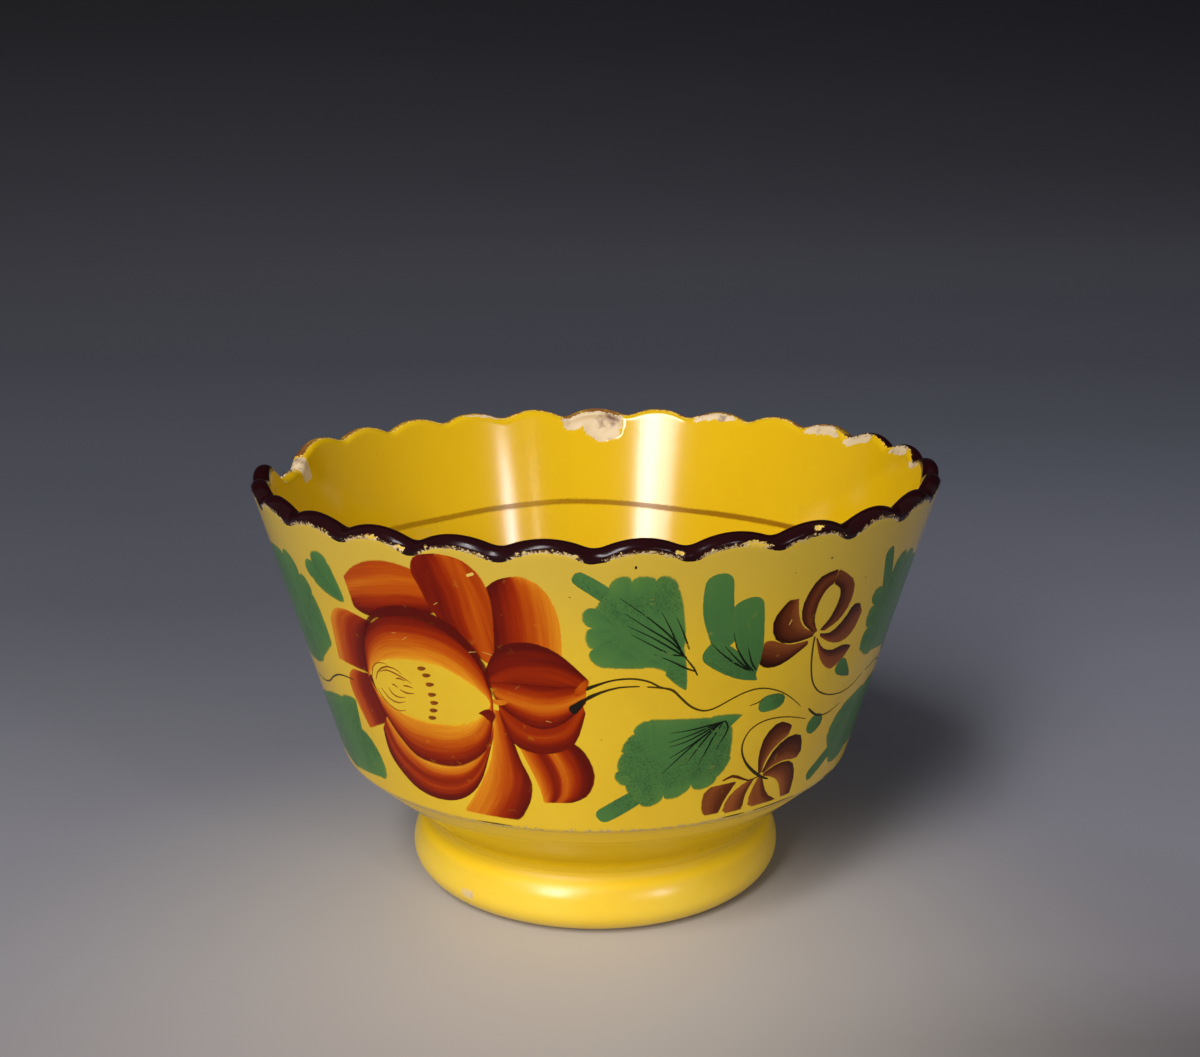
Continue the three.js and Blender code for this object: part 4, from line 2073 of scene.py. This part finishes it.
LEAVES = (
    Wash(
        (
            (15.0, 42.1), (14.7, 46.0), (13.9, 48.6), (13.6, 52.6), (12.2, 56.9), (10.6, 58.7), (8.9, 58.0),
            (7.1, 58.9), (5.3, 58.1), (3.6, 58.9), (1.95, 57.2), (1.0, 56.0), (-0.1, 54.6), (-2.0, 53.5),
            (-0.6, 51.7), (-1.6, 50.2), (-0.3, 48.6), (-0.6, 46.9), (2.0, 45.9), (4.7, 45.7), (7.5, 45.7),
            (10.0, 45.4), (11.1, 44.6), (13.0, 43.1),
        ),
        ((4.5, 51.5), (12.0, 47.5)),
        (15.5, 42.5),
        layer=1,
    ),
    Pull(((-2.9, 58.8), (0.0, 57.2), (3.0, 55.3)), (1.0, 1.15, 1.1), (0.45, 0.5, 0.5)),
    Pull(((18.0, 58.4), (18.5, 53.4), (20.8, 48.0)), (1.9, 2.15, 1.9), (0.4, 0.5, 0.5)),
    Pull(((23.0, 54.6), (24.2, 50.0), (27.0, 43.2)), (2.1, 2.35, 1.9, 0.3), (0.4, 0.5, 0.6), layer=1),
    Pull(((17.4, 48.2), (21.2, 46.0), (27.6, 42.4)), (1.6, 1.9, 1.6, 0.3), (0.45, 0.5, 0.6), layer=2),
    Wash(
        (
            (26.2, 37.6), (23.3, 38.2), (20.0, 38.1), (14.4, 38.4), (10.0, 38.6), (9.4, 38.6), (9.0, 38.4),
            (7.0, 37.8), (6.7, 36.6), (4.7, 35.0), (4.8, 33.6), (3.7, 31.9), (4.2, 30.6), (3.4, 29.5),
            (5.4, 28.2), (6.6, 26.4), (8.2, 25.6), (10.6, 24.7), (12.9, 26.3), (15.4, 25.7), (18.1, 27.5),
            (20.8, 26.5), (23.2, 28.2), (25.0, 29.6), (25.3, 31.2), (25.2, 34.0), (24.6, 36.0),
            (24.9, 37.1),
        ),
        ((10.0, 32.5), (20.5, 33.5)),
        (25.0, 37.8),
        layer=1,
    ),
    Pull(((0.6, 23.3), (4.2, 24.9), (8.6, 27.0)), (1.2, 1.35, 1.3), (0.4, 0.5, 0.5)),
    Wash(
        (
            (56.6, 53.0), (58.6, 55.7), (61.5, 54.4), (64.0, 55.2), (67.0, 53.3), (71.0, 52.9),
            (74.5, 50.8), (79.0, 45.0), (75.5, 38.6), (72.0, 37.6), (68.3, 39.2), (63.3, 40.0),
            (58.8, 40.4), (56.5, 40.5), (54.4, 41.5), (52.4, 43.4), (53.7, 45.2), (51.6, 47.2),
            (53.0, 48.9), (51.3, 51.0), (54.6, 51.4), (55.3, 52.6),
        ),
        ((58.0, 47.0), (72.0, 45.0)),
        (74.0, 38.6),
        layer=1,
    ),
    Pull(((52.3, 57.2), (55.5, 52.0), (60.0, 46.0)), (1.1, 1.35, 1.3), (0.45, 0.5, 0.5)),
    Wash(
        (
            (53.6, 27.0), (51.5, 28.4), (51.2, 30.0), (51.6, 31.9), (53.6, 33.3), (58.0, 34.7),
            (63.3, 34.8), (70.0, 35.2), (75.0, 33.6), (79.0, 29.0), (75.0, 25.0), (70.0, 24.0),
            (64.5, 24.6), (60.0, 23.2), (55.4, 24.7), (54.2, 25.6),
        ),
        ((57.0, 29.5), (71.0, 29.5)),
        (76.0, 33.6),
        layer=1,
    ),
    Pull(((48.0, 23.4), (52.0, 25.2), (57.0, 27.5)), (1.1, 1.25, 1.2), (0.45, 0.5, 0.5)),
    Wash(
        (
            (-42.7, 51.2), (-46.6, 51.2), (-50.6, 53.0), (-52.0, 55.1), (-49.2, 56.2), (-46.9, 58.0),
            (-44.4, 56.6), (-43.2, 54.4),
        ),
        ((-48.3, 54.3), (-45.3, 54.2)),
        (-42.8, 51.0),
    ),
    Wash(
        (
            (-51.6, 43.0), (-51.2, 47.0), (-52.7, 50.6), (-53.2, 52.8), (-55.6, 52.9), (-57.6, 55.7),
            (-61.0, 54.9), (-66.0, 55.4), (-71.0, 54.2), (-77.0, 50.0), (-78.0, 46.0), (-77.5, 42.0),
            (-74.5, 38.9), (-70.0, 37.8), (-65.0, 38.1), (-60.8, 38.4), (-58.0, 39.7), (-55.4, 40.9),
        ),
        ((-72.0, 46.5), (-58.0, 46.5)),
        (-52.0, 42.6),
    ),
    Wash(
        (
            (-49.0, 35.5), (-49.6, 33.2), (-50.1, 30.9), (-45.6, 26.4), (-48.8, 23.2), (-54.0, 22.6),
            (-60.0, 22.0), (-67.0, 22.3), (-74.0, 24.0), (-79.0, 27.5), (-74.0, 30.7), (-70.0, 32.4),
            (-66.5, 32.9), (-60.0, 34.4), (-55.0, 34.8), (-52.0, 35.8),
        ),
        ((-72.0, 27.5), (-54.0, 28.5)),
        (-49.0, 35.6),
    ),
    Pull(((28.9, 38.4), (31.5, 38.5), (34.6, 38.4)), (1.25, 1.4, 1.15), (0.4, 0.5, 0.6)),
    Pull(((46.6, 41.7), (48.4, 40.6), (52.2, 38.6)), (1.0, 1.25, 0.3), (0.4, 0.55, 0.65)),
    Pull(((42.6, 32.6), (44.8, 32.8), (47.2, 32.7)), (1.4, 1.7, 1.3), (0.4, 0.5, 0.6)),
)

VEINS = tuple(
    Pull(line, (0.07, 0.13, 0.17, 0.14), (0.5, 0.9, 1.0), edge=0.06, load=0.92, layer=5)
    for line in (
        ((3.6, 55.8), (8.0, 52.9), (11.5, 50.2), (13.2, 48.4)),
        ((4.4, 53.7), (8.0, 51.5), (11.5, 49.5), (13.8, 47.6)),
        ((4.8, 52.0), (8.5, 50.3), (12.0, 48.4), (14.4, 47.0)),
        ((5.4, 50.8), (9.0, 49.0), (11.5, 47.8), (13.6, 47.4)),
        ((9.0, 47.9), (12.0, 46.7), (14.3, 45.6), (16.0, 45.0)),
        ((9.7, 53.8), (11.4, 51.2), (12.8, 48.8), (13.8, 47.2)),
        ((12.0, 53.0), (13.3, 50.8), (14.0, 49.4), (14.6, 48.2)),
        ((13.2, 48.4), (14.4, 46.8), (15.6, 45.6), (16.5, 44.3)),
        ((17.8, 49.0), (20.0, 47.2), (22.5, 45.6), (25.2, 44.2)),
        ((20.4, 48.2), (22.2, 46.6), (24.0, 45.2), (25.8, 44.0)),
        ((21.6, 50.0), (22.4, 47.9), (24.0, 45.9), (25.6, 44.2)),
        ((22.6, 47.5), (23.8, 46.2), (25.0, 45.0), (26.4, 43.9)),
        ((24.5, 47.6), (25.2, 46.2), (25.9, 45.0), (26.9, 44.0)),
        ((12.9, 36.1), (16.5, 36.3), (20.0, 36.7), (23.0, 37.0)),
        ((12.8, 34.7), (16.5, 35.5), (19.5, 36.3), (22.6, 37.0)),
        ((12.8, 34.0), (16.0, 34.6), (19.0, 35.7), (22.2, 36.9)),
        ((13.2, 32.3), (15.5, 33.3), (18.5, 34.8), (22.0, 36.8)),
        ((12.2, 30.0), (14.6, 31.9), (18.0, 34.4), (21.8, 36.8)),
        ((16.4, 31.0), (18.0, 33.0), (20.0, 35.2), (22.0, 36.8)),
        ((18.8, 30.6), (19.9, 32.6), (21.0, 34.8), (22.4, 36.9)),
        ((21.8, 32.6), (22.8, 34.2), (23.6, 35.8), (22.8, 37.0)),
    )
)

BLOSSOMS = (
    Petal(
        ((27.2, 48.1), (29.0, 48.1), (31.0, 47.4), (33.4, 46.9), (36.6, 46.9)),
        ((26.6, 45.0), (28.2, 44.1), (30.4, 43.8), (33.0, 44.4), (36.8, 46.2)),
        (0.35, 0.6, 1.05),
    ),
    Petal(
        ((32.4, 53.5), (33.0, 51.7), (33.9, 50.1), (35.4, 48.8), (37.8, 47.9)),
        ((30.4, 53.5), (28.2, 50.8), (29.4, 47.9), (33.0, 46.9), (37.4, 47.2)),
        (0.35, 0.6, 1.05),
        layer=1,
    ),
    Petal(
        ((38.2, 47.9), (36.9, 49.8), (36.9, 52.2), (38.0, 53.9), (39.3, 54.4)),
        ((37.6, 47.6), (34.2, 49.7), (33.4, 52.6), (35.4, 55.8), (39.4, 56.6)),
        (0.9, 0.5, 1.0),
        layer=2,
    ),
    Petal(
        ((39.8, 47.6), (43.2, 48.8), (44.9, 51.2), (44.0, 54.2), (39.2, 56.7)),
        ((38.3, 47.9), (40.2, 49.4), (41.2, 51.6), (40.8, 53.4), (38.9, 54.4)),
        (0.5, 0.62, 1.0),
        layer=3,
    ),
    Petal(
        ((39.0, 46.9), (42.4, 45.4), (45.8, 44.9), (48.4, 46.0), (49.4, 48.8)),
        ((38.8, 47.5), (41.6, 47.2), (44.2, 48.6), (45.8, 50.4), (48.0, 50.2)),
        (0.35, 0.55, 1.02),
        layer=1,
    ),
    Petal(
        ((38.2, 46.8), (40.6, 43.4), (42.8, 41.7), (45.0, 41.0), (48.0, 42.3)),
        ((38.6, 46.9), (40.6, 45.1), (43.4, 44.3), (46.4, 44.5), (49.4, 43.8)),
        (0.25, 0.45, 0.95),
    ),
    Petal(
        ((33.4, 27.4), (33.7, 29.2), (35.0, 30.8), (36.8, 31.8), (38.1, 32.4)),
        ((32.5, 27.2), (31.5, 30.4), (32.1, 33.5), (34.8, 35.1), (38.4, 33.9)),
        (0.3, 0.6, 0.95),
    ),
    Petal(
        ((33.9, 27.2), (35.8, 27.9), (38.2, 28.2), (40.4, 28.0), (42.3, 28.0)),
        ((33.2, 27.4), (34.8, 30.5), (37.9, 32.2), (41.6, 31.8), (43.1, 28.9)),
        (0.3, 0.7, 1.0),
        layer=1,
    ),
    Petal(
        ((34.0, 26.7), (36.4, 26.0), (38.4, 24.8), (39.5, 23.4), (40.4, 22.0)),
        ((33.4, 27.1), (37.0, 28.2), (41.0, 27.8), (43.1, 25.2), (43.4, 22.0)),
        (0.25, 0.5, 0.95),
        layer=2,
    ),
    Petal(
        ((32.7, 27.0), (31.8, 25.4), (31.2, 23.8), (31.1, 21.9)),
        ((33.7, 26.9), (34.8, 25.2), (36.6, 23.3), (40.0, 21.9)),
        (0.3, 0.4, 0.85),
        layer=1,
    ),
    Petal(
        ((30.8, 26.8), (28.1, 25.9), (26.0, 24.3), (25.2, 21.9)),
        ((32.1, 26.9), (31.1, 25.6), (30.5, 24.1), (30.6, 21.9)),
        (0.25, 0.35, 0.75),
    ),
    Petal(
        ((22.2, 27.0), (20.6, 25.8), (20.7, 23.6), (21.6, 22.2)),
        ((28.4, 27.2), (27.0, 25.9), (25.7, 24.0), (24.9, 22.2)),
        (0.4, 0.5, 0.75),
    ),
    Pull(
        ((24.4, 27.5), (26.4, 28.0), (28.2, 27.5), (30.4, 26.7), (33.2, 27.0)),
        (0.2, 0.3, 0.2, 0.15),
        (0.6, 0.7, 0.9),
        layer=3,
        edge=0.1,
    ),
)

DARK_INK = (0.85, 0.6, 0.5)
PALE_INK = (0.5, 0.4, 0.35)
VINE_LINES = (
    (
        (0.36, 0.2, 0.18, 0.18, 0.18, 0.16), DARK_INK,
        (-1.8, 42.9), (0.5, 43.7), (3.0, 44.35), (6.0, 44.5), (8.6, 44.0), (10.5, 43.1), (12.5, 42.5),
        (14.2, 41.2),
    ),
    ((0.36, 0.24, 0.18, 0.15), DARK_INK, (-1.2, 41.7), (1.0, 42.6), (4.0, 43.3), (7.3, 43.35)),
    (
        (0.16, 0.19, 0.2, 0.17, 0.16, 0.16, 0.13, 0.1), PALE_INK,
        (7.9, 43.3), (10.5, 43.0), (12.5, 42.6), (14.0, 41.4), (15.8, 40.0), (17.6, 39.2), (19.2, 39.0),
        (21.0, 39.4), (23.2, 40.2), (25.6, 40.9), (28.2, 41.1), (31.0, 40.6), (34.0, 39.5), (37.0, 37.9),
        (39.6, 36.3),
    ),
    (
        (0.16, 0.22, 0.16, 0.13, 0.1), DARK_INK,
        (41.2, 36.0), (43.0, 34.9), (45.2, 34.0), (47.6, 33.7), (50.0, 33.9), (52.6, 34.6),
    ),
    (
        (0.2, 0.2, 0.17, 0.15, 0.13, 0.12), PALE_INK,
        (37.8, 47.4), (38.1, 45.4), (38.9, 42.8), (40.2, 40.4), (42.2, 38.6), (44.8, 37.4), (48.0, 36.6),
        (52.0, 36.2), (56.0, 36.6), (59.0, 37.6),
    ),
    (
        (0.16, 0.28, 0.2, 0.17, 0.16, 0.14, 0.1), DARK_INK,
        (35.6, 26.0), (33.6, 26.7), (31.0, 28.1), (28.8, 29.8), (27.5, 31.6), (27.3, 33.2), (28.2, 34.8),
        (30.2, 35.7), (33.0, 35.9), (37.0, 35.4), (42.4, 34.0),
    ),
    (
        (0.14, 0.18, 0.17, 0.12), PALE_INK,
        (-47.2, 38.9), (-50.0, 38.9), (-53.0, 38.5), (-56.0, 37.5), (-59.0, 36.2), (-63.0, 35.4),
        (-68.0, 35.4),
    ),
    ((0.1, 0.14, 0.14), PALE_INK, (27.0, 38.7), (28.4, 38.9), (29.8, 39.3)),
    ((0.12, 0.14, 0.12), PALE_INK, (60.0, 37.6), (66.0, 37.8), (72.0, 36.6), (80.0, 35.8)),
)
VINE = (
    *(Pull(tuple(line), half, ink, edge=0.08, layer=6) for half, ink, *line in VINE_LINES),
    Pull(
        ((-3.9, 39.8), (-3.2, 40.2), (-2.0, 41.2), (-0.6, 42.0)),
        (0.8, 0.75, 0.45, 0.28), (1.0, 1.0, 0.9), layer=8,
    ),
)

EDGE_RESTS = tuple(
    Pull(((start, height), (end, height)), (0.1, 0.17, 0.1), (0.8, 1.0, 0.8), edge=0.1, load=0.8)
    for start, end, height in ((-24, -16, 21.35), (26, 31.5, 21.4), (33.4, 45, 21.35), (56, 62, 21.4))
)

SCARS = tuple(
    Pull(((turn - half, height - tilt), (turn + half, height + tilt)), (wide, wide), edge=0.08, layer=11)
    for turn, height, half, tilt, wide in (
        (-31.0, 48.0, 0.6, 0.3, 0.07), (-33.0, 48.5, 0.5, 0.1, 0.06), (-19.0, 47.5, 0.7, 0.1, 0.08),
        (-16.5, 47.5, 0.8, -0.2, 0.08), (-23.8, 53.8, 0.4, 0.2, 0.08), (-12.2, 43.0, 0.4, 0.3, 0.06),
        (-7.5, 38.2, 0.5, -0.1, 0.08), (-17.5, 58.3, 0.6, 0.2, 0.24), (31.6, 50.2, 0.2, 0.4, 0.12),
    )
)
KILN_SPECKS = tuple(
    Pull(((turn - 0.2, height), (turn + 0.2, height)), (half, half), (0.8, 1.0), edge=0.1)
    for turn, height, half in (
        (5.75, 59.8, 0.28), (37.0, 58.3, 0.2), (-9.0, 52.4, 0.1), (19.6, 33.0, 0.1), (1.2, 35.6, 0.12),
        (-52.6, 30.2, 0.1), (30.4, 57.2, 0.1), (12.6, 28.4, 0.1), (-3.4, 55.9, 0.12), (47.0, 54.0, 0.12),
    )
)

RED_STOPS = ramp_of(
    (0.0, 228, 166, 34), (0.2, 214, 130, 20), (0.42, 186, 80, 4), (0.62, 150, 40, 0), (0.82, 116, 22, 3),
    (1.0, 86, 13, 5),
)
GREEN_STOPS = ramp_of(
    (0.0, 132, 150, 46), (0.25, 84, 126, 58), (0.5, 71, 116, 59), (0.75, 50, 88, 46), (1.0, 30, 48, 30),
)
BROWN_STOPS = ramp_of((0.0, 190, 124, 40), (0.3, 144, 78, 32), (0.6, 98, 44, 16), (1.0, 42, 12, 4))
INK_STOPS = ramp_of((0.0, 128, 100, 22), (0.4, 72, 58, 14), (1.0, 20, 20, 14))
UMBER_STOPS = ramp_of((0.0, 190, 128, 30), (0.5, 158, 92, 18), (1.0, 118, 60, 12))
BAND_STOPS = ramp_of((0.0, 168, 122, 14), (0.5, 134, 92, 10), (1.0, 96, 60, 8))
VEIN_STOPS = ramp_of((0.0, 46, 68, 28), (0.6, 22, 36, 18), (1.0, 12, 20, 12))
SCAR_STOPS = ramp_of((0.0, 214, 182, 70), (1.0, 228, 202, 104))


@dataclass
class Softbox:
    """A flat lamp turned to the cup.

    Attributes:
        name: Name of the lamp.
        azimuth: Degrees round from the front, growing towards the right.
        elevation: Degrees above the floor.
        distance: Metres from the cup.
        width: Width in metres.
        height: Height in metres.
        power: Watts.
        color: Colour of the light.
        glossy: True where the glaze mirrors the lamp.
        aim: Height of the place that the lamp is turned to, in metres.
    """

    name: str
    azimuth: float
    elevation: float
    distance: float
    width: float
    height: float
    power: float
    color: tuple[float, float, float] = (1.0, 0.97, 0.93)
    glossy: bool = True
    aim: float = 0.03

    def build(self) -> None:
        """Hangs the lamp."""
        data = bpy.data.lights.new(self.name, "AREA")
        data.shape = "RECTANGLE"
        data.size, data.size_y = self.width, self.height
        data.energy = self.power
        data.color = self.color
        lamp = bpy.data.objects.new(self.name, data)
        lamp.visible_glossy = self.glossy
        around, up = math.radians(self.azimuth), math.radians(self.elevation)
        away = Vector((math.sin(around) * math.cos(up), -math.cos(around) * math.cos(up), math.sin(up)))
        lamp.location = away * self.distance + Vector((0, 0, self.aim))
        lamp.rotation_euler = away.to_track_quat("Z", "Y").to_euler()
        bpy.context.scene.collection.objects.link(lamp)


@dataclass(frozen=True)
class PaperFinish:
    """The grey paper of the floor and backdrop, with the fall-off of light painted into its colour: pale
    near the cup, dark far away, cooler on the right.

    Attributes:
        left: Painted fall-off of light: colours by nearness on the left side.
        right: Painted fall-off of light: colours by nearness on the right side.
        painted_light_pool: Colour of the painted pool of light in front of the cup.
        painted_light_pool_shift: Where the painted pool of light's middle lies, in metres, turned about.
        painted_light_pool_radius: How far the painted pool of light reaches, in metres.
        eye_reach: How far in front of the cup a place is as near as it can be, in metres.
        near_scale: Distance from there, in metres, at which nearness is 1.
        front: Where nearness stops to grow in front of the cup, in metres.
        rise: How many metres further off each metre of the backdrop's height counts.
        side_gain: How fast the left side's colours give way to the right side's.
    """

    left: Stops = ramp_of(
        (0.025, 64, 64, 67), (0.036, 88, 88, 93), (0.049, 100, 100, 107), (0.078, 120, 121, 129),
        (0.099, 138, 139, 148), (0.136, 119, 121, 130), (0.195, 103, 106, 114), (0.32, 97, 101, 109),
        (0.45, 102, 105, 112), (0.58, 119, 121, 127), (0.71, 135, 136, 140), (0.86, 142, 142, 145),
        (0.96, 143, 141, 142),
    )
    right: Stops = ramp_of(
        (0.025, 50, 49, 55), (0.036, 71, 72, 79), (0.049, 87, 88, 95), (0.078, 117, 119, 127),
        (0.099, 140, 143, 153), (0.136, 120, 123, 133), (0.195, 105, 109, 118), (0.26, 104, 109, 118),
        (0.38, 114, 118, 128), (0.51, 126, 129, 138), (0.71, 132, 133, 139), (0.86, 126, 125, 129),
        (0.96, 101, 99, 99),
    )
    painted_light_pool: Tint = linear(182, 178, 168)
    painted_light_pool_shift: tuple[float, float, float] = (0.004, 0.03, 0.0)
    painted_light_pool_radius: float = 0.095
    eye_reach: float = 0.2207
    near_scale: float = 0.16
    front: float = -0.06
    rise: float = 12.0
    side_gain: float = 1.5

    def recipe_of(self, recipe: Recipe) -> dict[str, object]:
        """Paints the fall-off of light into the paper by how near a place is and by side, and paints a pool
        of light in front of the cup.

        Args:
            recipe: The material's recipe.

        Returns:
            The sockets that vary, by the shader's input names.
        """
        place = recipe.node("TexCoord").outputs["Object"]
        x, y, z = recipe.node("SeparateXYZ", {0: place}).outputs
        far = recipe.math("MAXIMUM", recipe.math("MULTIPLY_ADD", z, self.rise, y), self.front)
        near = recipe.math("DIVIDE", self.near_scale, recipe.math("ADD", far, self.eye_reach))
        reach = recipe.math("MULTIPLY", recipe.math("MULTIPLY", x, near), 1 / self.near_scale)
        to_right = recipe.span(recipe.math("MULTIPLY_ADD", reach, self.side_gain, 0.5), 0.0, 1.0)
        # Painted fall-off of light: colours by nearness and by side.
        color = recipe.mix(to_right, recipe.ramp(near, self.left), recipe.ramp(near, self.right))
        moved = recipe.node("Mapping", {"Vector": place, "Location": self.painted_light_pool_shift}).outputs[0]
        away = recipe.node("VectorMath", {0: moved}, operation="LENGTH").outputs["Value"]
        # Painted pool of light on the paper in front of the cup.
        color = recipe.mix(recipe.span(away, self.painted_light_pool_radius, 0.0), color, self.painted_light_pool)
        mottle = recipe.math("MULTIPLY_ADD", recipe.noise(place, 30, 3), 0.04, 0.98)
        grain = recipe.node("CombineColor", {0: mottle, 1: mottle, 2: mottle}).outputs[0]
        return {"Base Color": recipe.mix(1.0, color, grain, "MULTIPLY")}

    def make(self) -> Material:
        """Makes the material."""
        return shader("studio_paper", self.recipe_of, {"Roughness": 0.5, "Specular IOR Level": 0.2})


@dataclass
class Studio:
    """The floor with its rising backdrop, the lamps and the camera.

    Attributes:
        lens: Focal length.
        sensor: Width of the sensor.
        camera_place: Where the camera stands, in millimetres.
        camera_dip: How far it looks down, in degrees.
        reach: Half of the floor's width, in metres.
        wall_distance: How far behind the cup the backdrop rises, in metres.
        wall_height: Height of the upright part of the backdrop, in metres.
        bend: Radius of the bend between the floor and the backdrop, in metres.
        lamps: The lamps.
        room: Strength of the room's own dim light.
        room_tint: Its colour.
    """

    lens: float = 45.39
    sensor: float = 36.0
    camera_place: tuple[float, float, float] = (0.73, -220.7, 106.57)
    camera_dip: float = 13.776
    reach: float = 3.0
    wall_distance: float = 2.2
    wall_height: float = 2.2
    bend: float = 0.8
    lamps: tuple[Softbox, ...] = (
        Softbox("key_window", -22.75, 38.0, 1.2, 0.161, 0.87, 10.6, (1.0, 0.95, 1.0)),
        Softbox("key_window_veil", -30.4, 38.0, 1.2, 0.159, 0.87, 6.0, (1.0, 0.95, 1.0)),
        Softbox("second_window", 39.8, 17.0, 1.2, 0.075, 0.29, 2.0, (1.0, 0.93, 1.08)),
        Softbox("second_window_edge", 27.5, 18.5, 1.2, 0.02, 0.24, 0.24),
        Softbox("room_fill", -20.0, 70.0, 1.6, 1.4, 1.4, 0.8, glossy=False),
        Softbox("front_card", 25.0, 10.0, 1.2, 0.5, 0.5, 0.9, glossy=False),
    )
    room: float = 0.11
    room_tint: Tint = (0.92, 0.94, 1.0, 1.0)

    def camera(self) -> None:
        """Sets up the camera at the photograph's angle."""
        data = bpy.data.cameras.new("camera")
        data.lens = self.lens
        data.sensor_width = self.sensor
        data.clip_start = 0.01
        eye = bpy.data.objects.new("camera", data)
        eye.location = Vector(self.camera_place) * MM
        eye.rotation_euler = (math.radians(90 - self.camera_dip), 0, 0)
        bpy.context.scene.collection.objects.link(eye)
        bpy.context.scene.camera = eye

    def sweep(self) -> None:
        """Lays the floor, which rises behind the cup in a bend and becomes the backdrop."""
        mesh = bmesh.new()
        front = [mesh.verts.new((x, -self.reach, 0)) for x in (-self.reach, self.reach)]
        edges = [mesh.edges.new(front)]
        bend_start = self.wall_distance - self.bend
        edges = self.draw(mesh, edges, Vector((0, self.reach + bend_start, 0)))
        turned = bmesh.ops.spin(
            mesh,
            geom=edges + [vert for edge in edges for vert in edge.verts],
            cent=(0, bend_start, self.bend),
            axis=(1, 0, 0),
            angle=math.pi / 2,
            steps=24,
        )["geom_last"]
        edges = [edge for edge in turned if isinstance(edge, BMEdge)]
        self.draw(mesh, edges, Vector((0, 0, self.wall_height)))
        bmesh.ops.recalc_face_normals(mesh, faces=mesh.faces)
        for face in mesh.faces:
            face.smooth = True
        data = bpy.data.meshes.new("studio_sweep")
        mesh.to_mesh(data)
        mesh.free()
        data.materials.append(PaperFinish().make())
        sweep = bpy.data.objects.new("studio_sweep", data)
        bpy.context.scene.collection.objects.link(sweep)

    @staticmethod
    def draw(mesh: BMesh, edges: list, way: Vector) -> list[BMEdge]:
        """Draws a strip of the sheet out of its last edges.

        Args:
            mesh: The sheet.
            edges: The edges to draw from.
            way: How far to draw them, in metres.

        Returns:
            The new last edges.
        """
        out = bmesh.ops.extrude_edge_only(mesh, edges=edges)["geom"]
        verts = [item for item in out if isinstance(item, BMVert)]
        bmesh.ops.translate(mesh, verts=verts, vec=way)
        made = [item for item in out if isinstance(item, BMEdge)]
        return [edge for edge in made if set(edge.verts) <= set(verts)]

    def light(self) -> None:
        """Hangs the lamps and sets the room's own dim light."""
        for lamp in self.lamps:
            lamp.build()
        world = bpy.data.worlds.new("room")
        world.use_nodes = True
        background = world.node_tree.nodes["Background"]
        background.inputs["Color"].default_value = self.room_tint
        background.inputs["Strength"].default_value = self.room
        bpy.context.scene.world = world

    def build(self) -> None:
        """Sets up everything round the cup."""
        self.camera()
        self.sweep()
        self.light()
        bpy.context.scene.view_settings.view_transform = "Standard"


def main() -> None:
    """Builds the cup's pieces in order, then the studio."""
    logging.basicConfig(level=logging.INFO, format="%(name)s %(message)s")
    form = CupForm()
    effects = Effects()
    Bowl(form).build(GlazeFinish("canary_glaze").make(effects))
    # The foot's glaze takes its paler yellows, a painted sheen.
    FootRing(form).build(GlazeFinish("canary_glaze_foot", FOOT_YELLOW_SHEEN, FOOT_DEEP_SHEEN, 0.26).make(effects))
    RimEnamel(form).build(RimFinish().make(effects))
    InnerLine(form).build(PaintFinish("umber_band", BAND_STOPS, 0.5).make(effects))
    red = PaintFinish("iron_red", RED_STOPS, 0.36)
    green = PaintFinish("copper_green", GREEN_STOPS, 0.26, 0.5)
    brown = PaintFinish("manganese_brown", BROWN_STOPS, 0.34)
    vein = PaintFinish("vein_black", VEIN_STOPS, 0.3, 0.0, 0.1)
    ink = PaintFinish("olive_black", INK_STOPS, 0.3).make(effects)
    for name, slot, strokes, paint in (
        ("great_flower", "red_enamel", FLOWER, red.make(effects)),
        ("flower_markings", "brown_enamel", MARKINGS, PaintFinish("umber", UMBER_STOPS, 0.4).make(effects)),
        ("leaves", "green_enamel", LEAVES, green.make(effects)),
        ("leaf_veins", "green_enamel", VEINS, vein.make(effects)),
        ("small_blossoms", "brown_enamel", BLOSSOMS, brown.make(effects)),
        ("vine", "green_enamel", VINE, ink),
        ("edge_line_rests", "line_enamel", EDGE_RESTS, ink),
        ("kiln_specks", "brown_enamel", KILN_SPECKS, ink),
        ("paint_scars", "yellow_glaze", SCARS, PaintFinish("bared_yellow", SCAR_STOPS, 0.4).make(effects)),
    ):
        Painting(form, name, slot, strokes).build(paint)
    Studio().build()


if __name__ == "__main__":
    main()
